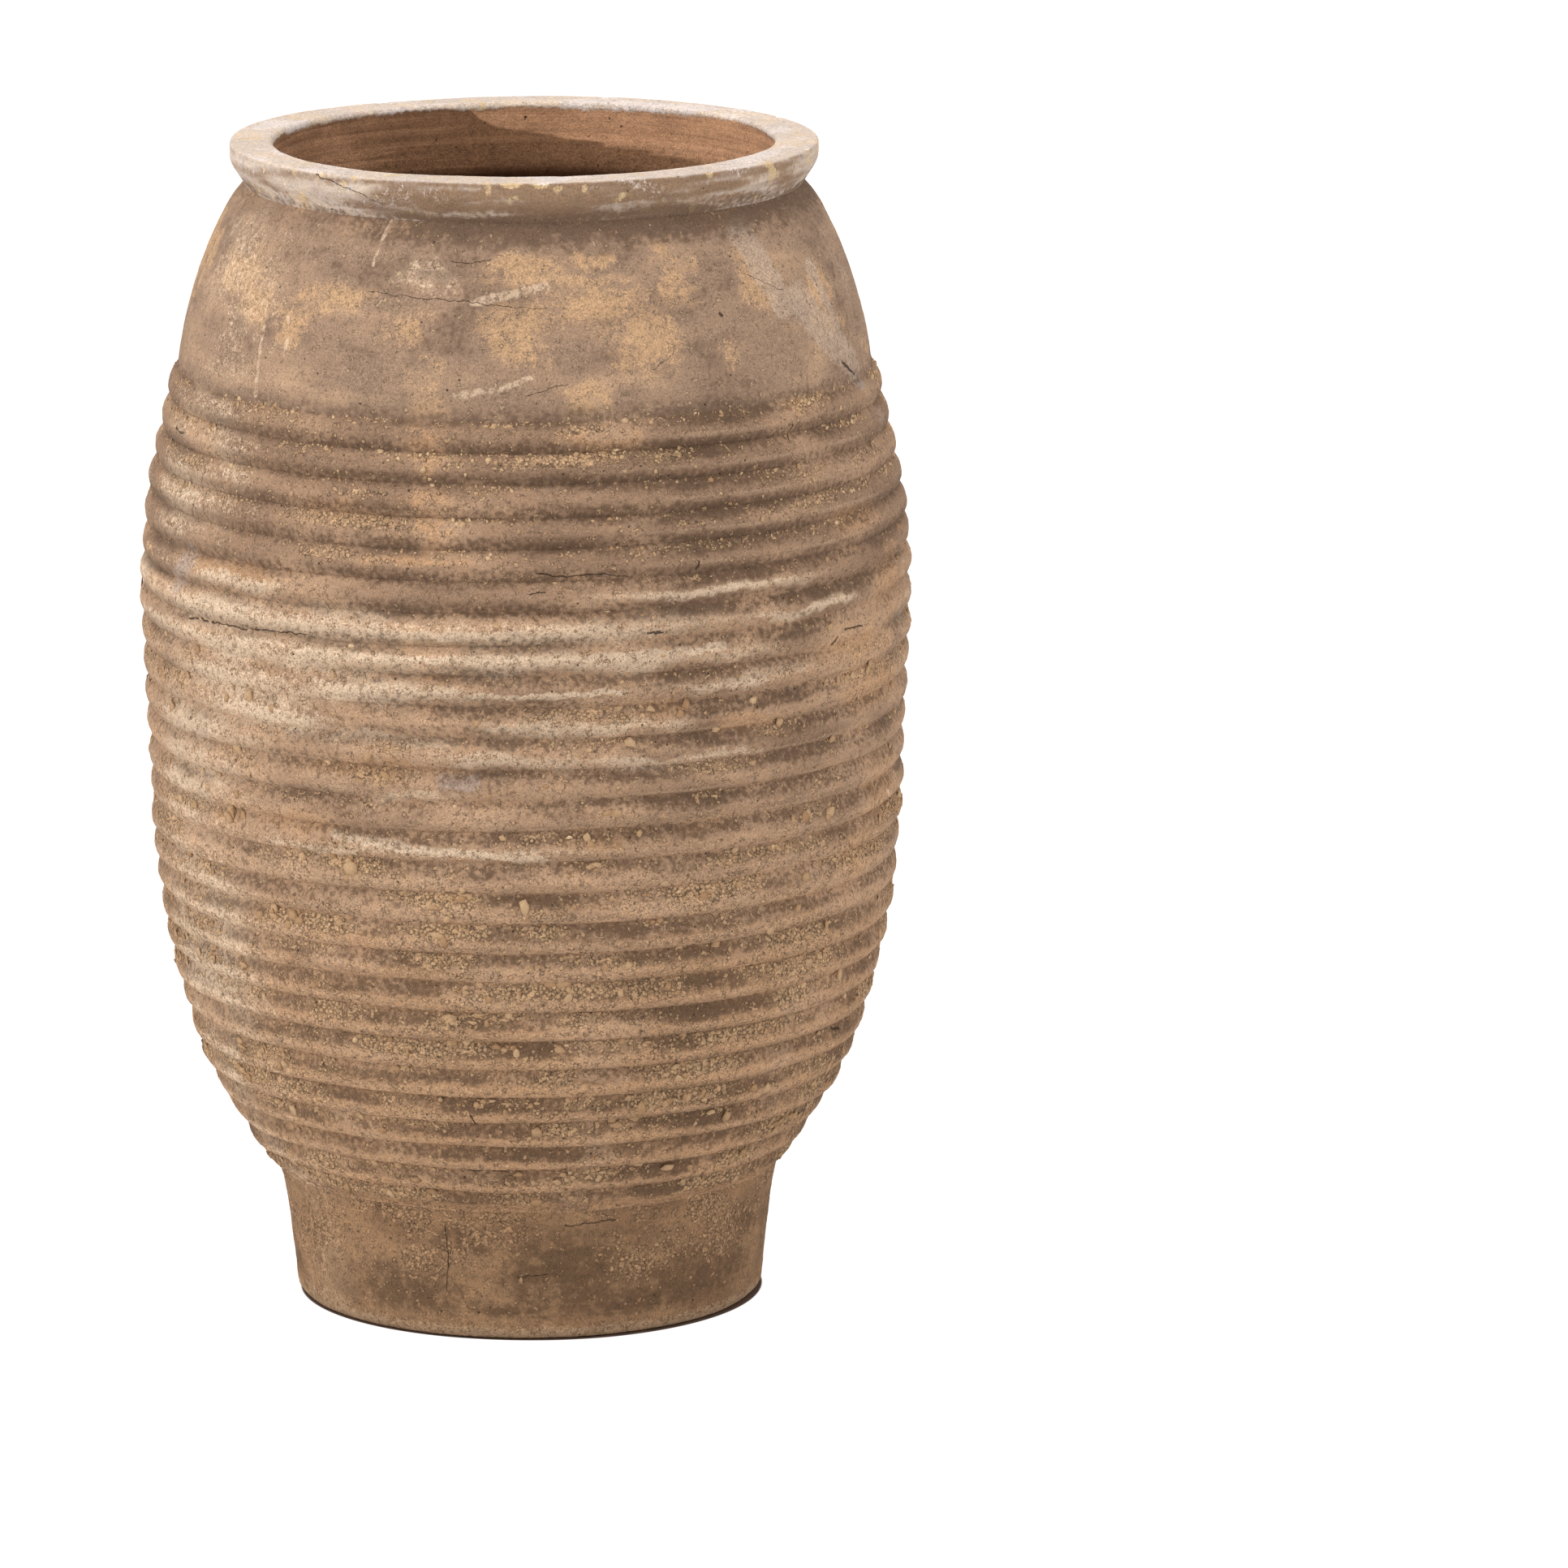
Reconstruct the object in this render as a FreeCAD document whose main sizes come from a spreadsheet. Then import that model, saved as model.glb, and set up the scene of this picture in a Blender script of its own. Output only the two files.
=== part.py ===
"""A large coil-built terracotta storage jar (pithos), in millimetres.

The jar stands on z = 0 with its axis on Z. It is built from the bottom up, as a potter builds it:
a floor slab, a soft coil pressed into the corner inside it, a smoothed foot wall, a wall of clay
coils that stay visible as ridges, a smoothed shoulder and a flat rim ring. Each piece is a ring
turned about Z, and it sits face to face on the piece below.
"""

import FreeCAD, Part
import os
import Sketcher

# The sizes, from the ground up: lengths in millimetres, angles in degrees from upright
SIZES = (
    ("foot_base_radius", "219.2", "outside of the foot where it meets the ground"),
    ("foot_edge_round", "10", "rounding of the foot's lower edge"),
    ("foot_taper", "10.6", "how much the straight part of the foot widens"),
    ("foot_cone_height", "92", "top of the straight part of the foot"),
    ("foot_flare", "7.9", "how much the foot widens again above that"),
    ("foot_height", "127", "top of the foot, where the first coil sits"),
    ("floor_thickness", "26", "floor slab"),
    ("corner_coil_leg", "24", "width and height of the coil in the inside corner"),
    ("corner_coil_hollow", "36", "radius of that coil's smoothed face"),
    ("wall_thickness", "26.5", "wall, measured level"),
    ("coil_count", "27", "visible coils in the wall"),
    ("coil_pitch", "29.2", "one coil, measured along the wall"),
    ("coil_bulge", "5", "how far a coil swells past its two joints"),
    ("hip_lean_angle", "31.95", "wall above the foot, leaning out"),
    ("thigh_lean_angle", "17.45", "wall where it turns upright"),
    ("belly_lean_angle", "2.35", "lower belly"),
    ("crown_lean_angle", "2.85", "upper belly, near the widest coil"),
    ("chest_lean_angle", "-12.4", "wall below the shoulder, leaning in"),
    ("shoulder_height", "155.66", "smoothed shoulder, up to the neck's hollow"),
    ("shoulder_curve_radius", "413", "shoulder's swell in profile"),
    ("neck_radius", "260.5", "outside of the neck, the narrowest place"),
    ("neck_hollow_depth", "13.7", "how far the shoulder's top stands out from the neck"),
    ("neck_hollow_height", "16", "height of the sloped hollow below the rim"),
    ("rim_overhang", "14", "how far the rim stands out from the neck"),
    ("rim_height", "39", "rim ring, from the neck to its flat top"),
    ("rim_band_height", "17", "upright band round the outside of the rim"),
    ("rim_lower_round", "5", "rounding below the band"),
    ("rim_outer_round", "3", "rounding at the outer top edge"),
    ("rim_inner_round", "5", "rounding at the inner top edge"),
)

# Where each lean angle holds, as a share of the way up the coiled wall
LEAN_STATION_SHARES = (
    (0.10, "hip_lean_angle"),
    (0.20, "thigh_lean_angle"),
    (0.46, "belly_lean_angle"),
    (0.69, "crown_lean_angle"),
    (0.90, "chest_lean_angle"),
)

BELOW_FIRST_COIL = "foot_wall"


def make_sizes(document):
    """The spreadsheet that every piece reads its sizes from."""
    sheet = document.addObject("Spreadsheet::Sheet", "Sizes")
    for row, (alias, value, meaning) in enumerate(SIZES, start=1):
        sheet.set(f"A{row}", alias)
        sheet.set(f"B{row}", value)
        sheet.setAlias(f"B{row}", alias)
        sheet.set(f"C{row}", meaning)
    document.recompute()
    return sheet


def millimetres(words):
    """Turns an expression of the sheet's plain numbers into a length."""
    return f"({words}) * 1 mm"


def foot_side_radius(height):
    """The outside radius of the foot's straight part at a height above the ground."""
    return f"Sizes.foot_base_radius + Sizes.foot_taper * ({height}) / Sizes.foot_cone_height"


def foot_inner_radius(height):
    """The inside radius of the foot's straight part at a height above the ground."""
    return f"{foot_side_radius(height)} - Sizes.wall_thickness"


FOOT_CONE_RADIUS = "Sizes.foot_base_radius + Sizes.foot_taper"
FOOT_TOP_RADIUS = f"{FOOT_CONE_RADIUS} + Sizes.foot_flare"
CORNER_COIL_TOP = "Sizes.floor_thickness + Sizes.corner_coil_leg"
MOUTH_RADIUS = "Sizes.neck_radius - Sizes.wall_thickness"
RIM_RADIUS = "Sizes.neck_radius + Sizes.rim_overhang"
RIM_UNDERSIDE_HEIGHT = "Sizes.rim_height - Sizes.rim_band_height"


def straight():
    """A straight edge."""
    return {"kind": "straight"}


def arc(radius, side):
    """A round edge of a given radius. It swells to the left (1) or right (-1) of its direction."""
    return {"kind": "arc", "radius": radius, "side": side}


def smooth_arc(side):
    """A round edge that leaves the edge before it without a corner."""
    return {"kind": "smooth", "side": side}


def arc_sagitta(edge, chord, edge_before, document):
    """How far the arc stands off its chord, as a start for the solver."""
    half = chord.Length / 2
    if edge["kind"] == "arc":
        radius = document.Sizes.evalExpression(edge["radius"]).Value
        return radius - (radius**2 - half**2) ** 0.5
    before = edge_before.EndPoint - edge_before.StartPoint
    return half * FreeCAD.Vector(before).getAngle(chord) / 2


def draw_profile(sketch, corners):
    """Draws a closed outline in the sketch.

    Each corner is (name, radius, height, edge to the next corner), with its radius from the jar's
    axis and its height above the ground as expressions. Its two dimensions are named after it.
    """
    document = sketch.Document
    points = []
    for name, radius, height, edge in corners:
        across = document.Sizes.evalExpression(radius).Value
        up = document.Sizes.evalExpression(height).Value
        points.append(FreeCAD.Vector(across, up, 0))
    drawn = []
    for number, (name, radius, height, edge) in enumerate(corners):
        start = points[number]
        end = points[(number + 1) % len(points)]
        line = Part.LineSegment(start, end)
        if edge["kind"] == "straight":
            drawn.append((sketch.addGeometry(line, False), 1, 2))
            continue
        chord = end - start
        left = FreeCAD.Vector(-chord.y, chord.x, 0).normalize()
        edge_before = sketch.Geometry[drawn[-1][0]] if drawn else line
        sagitta = arc_sagitta(edge, chord, edge_before, document)
        middle = (start + end) / 2 + left * sagitta * edge["side"]
        curve = sketch.addGeometry(Part.Arc(start, middle, end), False)
        turns_left = edge["side"] < 0
        drawn.append((curve, 1, 2) if turns_left else (curve, 2, 1))
    for number, (name, radius, height, edge) in enumerate(corners):
        here, start_point, end_point = drawn[number]
        before, before_start, before_end = drawn[number - 1]
        joint = "Tangent" if edge["kind"] == "smooth" else "Coincident"
        sketch.addConstraint(Sketcher.Constraint(joint, before, before_end, here, start_point))
    for number, (name, radius, height, edge) in enumerate(corners):
        here, start_point, end_point = drawn[number]
        place = points[number]
        across = Sketcher.Constraint("DistanceX", -1, 1, here, start_point, place.x)
        up = Sketcher.Constraint("DistanceY", -1, 1, here, start_point, place.y)
        name_dimension(sketch, sketch.addConstraint(across), f"{name}_radius", radius)
        name_dimension(sketch, sketch.addConstraint(up), f"{name}_height", height)
        if edge["kind"] == "arc":
            size = document.Sizes.evalExpression(edge["radius"]).Value
            bend = sketch.addConstraint(Sketcher.Constraint("Radius", here, size))
            name_dimension(sketch, bend, f"{name}_bend", edge["radius"])


def name_dimension(sketch, index, name, expression):
    """Names one dimension of a sketch and ties it to its expression."""
    sketch.renameConstraint(index, name)
    sketch.setExpression(f"Constraints.{name}", expression)


def turned_piece(document, name, corners):
    """One clay piece: an outline turned once round the jar's axis."""
    body = document.addObject("PartDesign::Body", name)
    body.Label = name
    sketch = body.newObject("Sketcher::SketchObject", f"{name}_profile")
    upright = [plane for plane in body.Origin.OriginFeatures if plane.Role == "XZ_Plane"][0]
    sketch.AttachmentSupport = (upright, [""])
    sketch.MapMode = "FlatFace"
    document.recompute()
    draw_profile(sketch, corners)
    document.recompute()
    turned = body.newObject("PartDesign::Revolution", f"{name}_turned")
    turned.Profile = sketch
    turned.ReferenceAxis = (sketch, ["V_Axis"])
    turned.Angle = "360 deg"
    sketch.Visibility = False
    body.Placement = FreeCAD.Placement()
    document.recompute()
    return body


def make_base_disc(document):
    """The floor slab, with the foot's rounded lower edge."""
    edge_round = "Sizes.foot_edge_round"
    floor_top = "Sizes.floor_thickness"
    corners = [
        ("axis_bottom", millimetres("0"), millimetres("0"), straight()),
        (
            "ground",
            millimetres(f"Sizes.foot_base_radius - {edge_round}"),
            millimetres("0"),
            smooth_arc(-1),
        ),
        (
            "side",
            millimetres(foot_side_radius(edge_round)),
            millimetres(edge_round),
            straight(),
        ),
        (
            "top_edge",
            millimetres(foot_side_radius(floor_top)),
            millimetres(floor_top),
            straight(),
        ),
        ("axis_top", millimetres("0"), millimetres(floor_top), straight()),
    ]
    return turned_piece(document, "base_disc", corners)


def make_inner_corner_coil(document):
    """A soft coil pressed into the corner between floor and wall, wiped to a hollow face."""
    floor_top = "Sizes.floor_thickness"
    hollow = millimetres("Sizes.corner_coil_hollow")
    corners = [
        (
            "toe",
            millimetres(f"{foot_inner_radius(floor_top)} - Sizes.corner_coil_leg"),
            millimetres(floor_top),
            straight(),
        ),
        (
            "corner",
            millimetres(foot_inner_radius(floor_top)),
            millimetres(floor_top),
            straight(),
        ),
        (
            "top",
            millimetres(foot_inner_radius(CORNER_COIL_TOP)),
            millimetres(CORNER_COIL_TOP),
            arc(hollow, 1),
        ),
    ]
    return turned_piece(document, "inner_corner_coil", corners)


def make_foot_wall(document):
    """The smoothed foot: a straight flaring side that curves out to meet the first coil."""
    floor_top = "Sizes.floor_thickness"
    cone_top = "Sizes.foot_cone_height"
    corners = [
        (
            "lower_inner",
            millimetres(foot_inner_radius(floor_top)),
            millimetres(floor_top),
            straight(),
        ),
        (
            "lower_outer",
            millimetres(foot_side_radius(floor_top)),
            millimetres(floor_top),
            straight(),
        ),
        ("cone_outer", millimetres(FOOT_CONE_RADIUS), millimetres(cone_top), smooth_arc(1)),
        (
            "upper_outer",
            millimetres(FOOT_TOP_RADIUS),
            millimetres("Sizes.foot_height"),
            straight(),
        ),
        (
            "upper_inner",
            millimetres(f"{FOOT_TOP_RADIUS} - Sizes.wall_thickness"),
            millimetres("Sizes.foot_height"),
            straight(),
        ),
        (
            "cone_inner",
            millimetres(f"{FOOT_CONE_RADIUS} - Sizes.wall_thickness"),
            millimetres(cone_top),
            straight(),
        ),
    ]
    return turned_piece(document, BELOW_FIRST_COIL, corners)


def lean_at(share):
    """The wall's lean at a share of the way up the coils, blended between two stations."""
    first_share, first_name = LEAN_STATION_SHARES[0]
    if share <= first_share:
        return f"Sizes.{first_name}"
    for upper_share, upper_name in LEAN_STATION_SHARES[1:]:
        if share < upper_share:
            blend_share = (share - first_share) / (upper_share - first_share)
            return f"Sizes.{first_name} + (Sizes.{upper_name} - Sizes.{first_name}) * {blend_share}"
        first_share, first_name = upper_share, upper_name
    return f"Sizes.{first_name}"


def make_coil(document, name, name_below, lean):
    """One coil of the wall. It starts from the top of the piece below and leans as the wall does."""
    lower_radius = f"{name_below}_profile.Constraints.upper_outer_radius"
    lower_height = f"{name_below}_profile.Constraints.upper_outer_height"
    pitch = millimetres("Sizes.coil_pitch")
    wall = millimetres("Sizes.wall_thickness")
    upper_radius = f"{lower_radius} + {pitch} * sin({lean})"
    upper_height = f"{lower_height} + {pitch} * cos({lean})"
    bulge_radius = "Sizes.coil_pitch ^ 2 / (8 * Sizes.coil_bulge) + Sizes.coil_bulge / 2"
    corners = [
        ("lower_inner", f"{lower_radius} - {wall}", lower_height, straight()),
        ("lower_outer", lower_radius, lower_height, arc(millimetres(bulge_radius), -1)),
        ("upper_outer", upper_radius, upper_height, straight()),
        ("upper_inner", f"{upper_radius} - {wall}", upper_height, straight()),
    ]
    return turned_piece(document, name, corners)


def make_coils(document, sheet):
    """The ridged wall, one coil on another from the foot to the shoulder."""
    coils = []
    coil_count = int(sheet.coil_count)
    name_below = BELOW_FIRST_COIL
    for number in range(1, coil_count + 1):
        name = f"coil_{number:02d}"
        middle_share = (number - 0.5) / coil_count
        coils.append(make_coil(document, name, name_below, lean_at(middle_share)))
        name_below = name
    return coils


def make_shoulder_wall(document, name_below):
    """The smoothed shoulder, which curves in from the last coil to the neck."""
    lower_radius = f"{name_below}_profile.Constraints.upper_outer_radius"
    lower_height = f"{name_below}_profile.Constraints.upper_outer_height"
    swell = millimetres("Sizes.shoulder_curve_radius")
    wall = millimetres("Sizes.wall_thickness")
    top_radius = millimetres("Sizes.neck_radius + Sizes.neck_hollow_depth")
    top_height = f"{lower_height} + {millimetres('Sizes.shoulder_height')}"
    neck_radius = millimetres("Sizes.neck_radius")
    neck_height = f"{top_height} + {millimetres('Sizes.neck_hollow_height')}"
    corners = [
        ("lower_inner", f"{lower_radius} - {wall}", lower_height, straight()),
        ("lower_outer", lower_radius, lower_height, arc(swell, -1)),
        ("shoulder_outer", top_radius, top_height, straight()),
        ("upper_outer", neck_radius, neck_height, straight()),
        ("upper_inner", f"{neck_radius} - {wall}", neck_height, straight()),
        ("shoulder_inner", f"{top_radius} - {wall}", top_height, arc(swell, 1)),
    ]
    return turned_piece(document, "shoulder_wall", corners)


def make_rim_ring(document, name_below):
    """The flat rim luted on the neck: a sloped underside, an upright band and a level top."""
    neck_radius = f"{name_below}_profile.Constraints.upper_outer_radius"
    neck_height = f"{name_below}_profile.Constraints.upper_outer_height"
    mouth = millimetres(MOUTH_RADIUS)
    band = millimetres(RIM_RADIUS)
    band_bottom = f"{neck_height} + {millimetres(RIM_UNDERSIDE_HEIGHT)}"
    top = f"{neck_height} + {millimetres('Sizes.rim_height')}"
    lower_round = millimetres("Sizes.rim_lower_round")
    outer_round = millimetres("Sizes.rim_outer_round")
    inner_round = millimetres("Sizes.rim_inner_round")
    slope = f"({neck_radius} - {band}) / ({neck_height} - ({band_bottom}))"
    slope_length = f"sqrt(1 + ({slope}) ^ 2)"
    corners = [
        ("lower_inner", mouth, neck_height, straight()),
        ("lower_outer", neck_radius, neck_height, straight()),
        (
            "underside",
            f"{band} - {lower_round} * {slope}",
            f"{band_bottom} - {lower_round}",
            smooth_arc(-1),
        ),
        ("band_bottom", band, f"{band_bottom} + {lower_round} * {slope_length}", straight()),
        ("band_top", band, f"{top} - {outer_round}", arc(outer_round, -1)),
        ("outer_edge", f"{band} - {outer_round}", top, straight()),
        ("inner_edge", f"{mouth} + {inner_round}", top, arc(inner_round, -1)),
        ("mouth_top", mouth, f"{top} - {inner_round}", straight()),
    ]
    return turned_piece(document, "rim_ring", corners)


def check(document, pieces):
    """Stops if any object failed or any piece isn't one sound solid."""
    for item in document.Objects:
        failed = {"Invalid", "Error"} & set(item.State)
        if failed:
            raise RuntimeError(f"{item.Label} is {sorted(failed)}")
    for piece in pieces:
        shape = piece.Shape
        if shape.isNull() or not shape.isValid() or len(shape.Solids) != 1:
            raise RuntimeError(f"{piece.Label} isn't one valid solid")


def export(pieces):
    """Writes each piece under its own name."""
    os.makedirs("parts", exist_ok=True)
    for piece in pieces:
        piece.Shape.exportStep(f"parts/{piece.Label}.step")


def main():
    document = FreeCAD.newDocument("Pithos")
    sheet = make_sizes(document)
    pieces = [
        make_base_disc(document),
        make_inner_corner_coil(document),
        make_foot_wall(document),
    ]
    pieces += make_coils(document, sheet)
    pieces.append(make_shoulder_wall(document, pieces[-1].Label))
    pieces.append(make_rim_ring(document, pieces[-1].Label))
    document.recompute()
    check(document, pieces)
    export(pieces)
    whole = Part.makeCompound([piece.Shape for piece in pieces]).optimalBoundingBox()
    print(f"{len(pieces)} pieces, {whole.XLength:.2f} wide and {whole.ZLength:.2f} high")


main()
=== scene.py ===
"""Looks of the coil-built terracotta storage jar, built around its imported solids."""

import math

import bpy
import numpy as np
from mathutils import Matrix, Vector


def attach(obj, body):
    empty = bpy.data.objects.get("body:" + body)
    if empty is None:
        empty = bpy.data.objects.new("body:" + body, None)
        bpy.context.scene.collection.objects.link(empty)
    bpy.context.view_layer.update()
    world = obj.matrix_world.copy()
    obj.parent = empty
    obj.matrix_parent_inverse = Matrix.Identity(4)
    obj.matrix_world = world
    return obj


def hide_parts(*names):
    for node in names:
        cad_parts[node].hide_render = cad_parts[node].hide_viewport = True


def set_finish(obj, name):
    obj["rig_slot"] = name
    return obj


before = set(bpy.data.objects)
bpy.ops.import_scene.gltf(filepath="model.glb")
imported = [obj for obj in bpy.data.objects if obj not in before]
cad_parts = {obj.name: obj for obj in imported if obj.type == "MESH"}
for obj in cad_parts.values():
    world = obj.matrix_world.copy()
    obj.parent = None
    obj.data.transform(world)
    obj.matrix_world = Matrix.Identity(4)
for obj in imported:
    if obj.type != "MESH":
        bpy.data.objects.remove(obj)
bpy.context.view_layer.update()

MM = 0.001
DEGREE = math.pi / 180
FULL_TURN = 2 * math.pi

# Camera, fitted to the ellipses of the rim and the foot
PHOTO_PIXELS = 1932
FOCAL_PIXELS = 13423.27
SENSOR_WIDTH = 36.0
CAMERA_DISTANCE = 10067.3 * MM
CAMERA_HEIGHT = 2602.5 * MM
CAMERA_PITCH = 11.8828 * DEGREE
CAMERA_YAW = 1.37729 * DEGREE
CLIP_END = 200.0

# Mesh fineness
TURN_STEPS = 1024
COIL_ROWS = 26
COIL_INNER_ROWS = 6
SHOULDER_SPACING = 2.8 * MM
FOOT_SPACING = 1.9 * MM
RIM_SPACING = 1.25 * MM
INNER_SPACING = 7 * MM
DISC_SPACING = 2.5 * MM
MATCH = 0.05 * MM
FACING = 0.05

# Hand-built unevenness
MEAN_RADIUS = 330 * MM
NOISE_BELOW = 220 * MM
NOISE_SPAN = 1700 * MM
COURSE_SIZE = 30 * MM
COIL_BULGE = 5.8 * MM
BULGE_CHANGE_SHARE = 0.22
SHAPE_HEIGHTS = [127, 330, 520, 700, 890]
CREST_SHARES = [0.36, 0.38, 0.43, 0.46, 0.45]
VALLEY_POWERS = [1.25, 1.25, 1.2, 1.15, 1.1]
SKEW_CHANGE = 0.08
WAVE_HEIGHT = 1.6 * MM
JOINT_WANDER = 1.3 * MM
OUT_OF_ROUND = 1.4 * MM
UNDULATION = 0.8 * MM
LUMPS = 0.42 * MM
GRIT = 0.2 * MM
CRUST_RISE = 0.7 * MM
INNER_WAVE = 1.4 * MM
INNER_WIPE = 0.5 * MM
NOISE_GAIN = 1.5

# How much the courses lean from left to right, by height
TILT_HEIGHTS = [0, 60, 127, 230, 340, 400, 450, 570, 655, 690, 745, 805, 890, 1100]
TILTS = [0, 1.0, 2.0, 1.5, 0, 1.0, 2.5, 1.5, 1.0, 4.0, 3.0, 0, 0, 0]


def ease(low, high, value):
    """0 up to low, 1 from high on, and a smooth rise between."""
    share = np.clip((value - low) / (high - low), 0, 1)
    return share * share * (3 - 2 * share)


def noise(turn, along, size, seed, stretch=1.0):
    """Smooth noise, about -1 to 1, that closes round the jar; stretch lengthens it along the turn."""
    columns = max(3, round(FULL_TURN * MEAN_RADIUS / (size * stretch)))
    rows = math.ceil(NOISE_SPAN / size) + 2
    directions = np.random.default_rng(seed).uniform(0, FULL_TURN, (rows, columns))
    lean_x = np.cos(directions)
    lean_y = np.sin(directions)
    x = turn / FULL_TURN * columns
    y = (along + NOISE_BELOW) / size
    cell_x = np.floor(x).astype(int)
    cell_y = np.clip(np.floor(y).astype(int), 0, rows - 2)
    part_x = x - cell_x
    part_y = y - cell_y
    fade_x = part_x**3 * (part_x * (6 * part_x - 15) + 10)
    fade_y = part_y**3 * (part_y * (6 * part_y - 15) + 10)
    left = cell_x % columns
    right = (cell_x + 1) % columns

    def corner(row, column, offset_x, offset_y):
        return lean_x[row, column] * offset_x + lean_y[row, column] * offset_y

    low_left = corner(cell_y, left, part_x, part_y)
    low_right = corner(cell_y, right, part_x - 1, part_y)
    high_left = corner(cell_y + 1, left, part_x, part_y - 1)
    high_right = corner(cell_y + 1, right, part_x - 1, part_y - 1)
    low = low_left + (low_right - low_left) * fade_x
    high = high_left + (high_right - high_left) * fade_x
    return NOISE_GAIN * (low + (high - low) * fade_y)


def fractal(turn, along, size, seed, octaves=3, stretch=1.0):
    """Noise with finer noise added to it, each half the size and the strength of the last."""
    total = 0
    strength = 1.0
    for octave in range(octaves):
        total = total + strength * noise(turn, along, size, seed + octave, stretch)
        size = size / 2
        strength = strength / 2
    return total


def node_points(node):
    """Distance from the axis and height of each corner of a CAD node."""
    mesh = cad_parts[node].data
    points = np.empty(len(mesh.vertices) * 3, np.float32)
    mesh.vertices.foreach_get("co", points)
    points = points.reshape(-1, 3).astype(float)
    return np.hypot(points[:, 0], points[:, 1]), points[:, 2]


def levels(node, outer=True):
    """The heights at which a turned node's outer or inner face has corners, and its radius there."""
    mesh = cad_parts[node].data
    radius, height = node_points(node)
    normals = np.empty(len(mesh.polygons) * 3, np.float32)
    mesh.polygons.foreach_get("normal", normals)
    centres = np.empty(len(mesh.polygons) * 3, np.float32)
    mesh.polygons.foreach_get("center", centres)
    normals = normals.reshape(-1, 3)
    centres = centres.reshape(-1, 3)
    spread = np.hypot(centres[:, 0], centres[:, 1])
    facing = (normals[:, 0] * centres[:, 0] + normals[:, 1] * centres[:, 1]) / np.maximum(spread, MATCH)
    chosen = facing > FACING if outer else facing < -FACING
    corners = sorted({corner for face in np.nonzero(chosen)[0] for corner in mesh.polygons[face].vertices})
    radius = radius[corners]
    height = height[corners]
    found = np.unique(np.round(height / MATCH)) * MATCH
    radii = [radius[np.abs(height - level) < MATCH].mean() for level in found]
    return found, np.array(radii)


coil_names = sorted(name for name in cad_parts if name.startswith("coil_"))
COIL_COUNT = len(coil_names)
joint_heights = []
joint_radii = []
for coil_name in coil_names:
    coil_heights, coil_radii = levels(coil_name)
    joint_heights.append(coil_heights[0])
    joint_radii.append(coil_radii[0])
joint_heights.append(coil_heights[-1])
joint_radii.append(coil_radii[-1])
joint_heights = np.array(joint_heights)
joint_radii = np.array(joint_radii)
WALL = joint_radii[0] - levels(coil_names[0], outer=False)[1][0]
foot_heights, foot_radii = levels("foot_wall")
shoulder_heights, shoulder_radii = levels("shoulder_wall")
NECK_HEIGHT = shoulder_heights[-1]
MOUTH_RADIUS = levels("rim_ring", outer=False)[1].min()
UPRIGHT_LOW = NECK_HEIGHT - 26 * MM
INNER_FLARE = 1.3
outline_heights = np.concatenate([foot_heights[:-1], joint_heights, shoulder_heights[1:]])
outline_radii = np.concatenate([foot_radii[:-1], joint_radii, shoulder_radii[1:]])
outline_slopes = np.gradient(outline_radii, outline_heights)


def course_of(rise):
    """Coil number and share of it at a height, carried on at the same pitch below and above the coils."""
    inside = np.interp(rise, joint_heights, np.arange(COIL_COUNT + 1))
    below = np.minimum(rise - joint_heights[0], 0) / COURSE_SIZE
    above = np.maximum(rise - joint_heights[-1], 0) / COURSE_SIZE
    return inside + below + above


def outward(rise):
    """Radial and upright part of the mean wall's outward direction."""
    slope = np.interp(rise, outline_heights, outline_slopes)
    length = np.hypot(1, slope)
    return 1 / length, -slope / length


def settle(turn, radius, rise):
    """Where a point of the plain turned shape lies on the uneven hand-built jar."""
    tilt = np.interp(rise / MM, TILT_HEIGHTS, TILTS) * MM * np.sin(turn)
    wander = noise(turn, course_of(rise) * COURSE_SIZE, COURSE_SIZE, 11, 9)
    wave = noise(turn, rise, 420 * MM, 12, 1.2)
    ground = ease(5 * MM, 130 * MM, rise)
    top = 1 - 0.75 * ease(joint_heights[-1], NECK_HEIGHT, rise)
    lift = (tilt + wander * JOINT_WANDER * top + wave * WAVE_HEIGHT) * ground
    spread = noise(turn, rise, 500 * MM, 13, 1.5) * OUT_OF_ROUND * (0.4 + 0.6 * ground)
    return radius + spread, rise + lift


def angle_of(turn):
    """A turn as an angle of -180 to 180 degrees, zero at the front."""
    return (turn / DEGREE + 180) % 360 - 180


def hump(value, width):
    """1 where the value is zero, falling off to both sides."""
    return np.exp(-((value / width) ** 2))


# How far the edges of blots and streaks stray, in degrees along the turn and in millimetres up
RAGGED_COPIES = 3
STRAY_ANGLE = 3.4
FINE_STRAY_ANGLE = 1.6
STRAY_HEIGHT = 8
FINE_STRAY_HEIGHT = 4
STREAK_STRAY = 2.5


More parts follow.
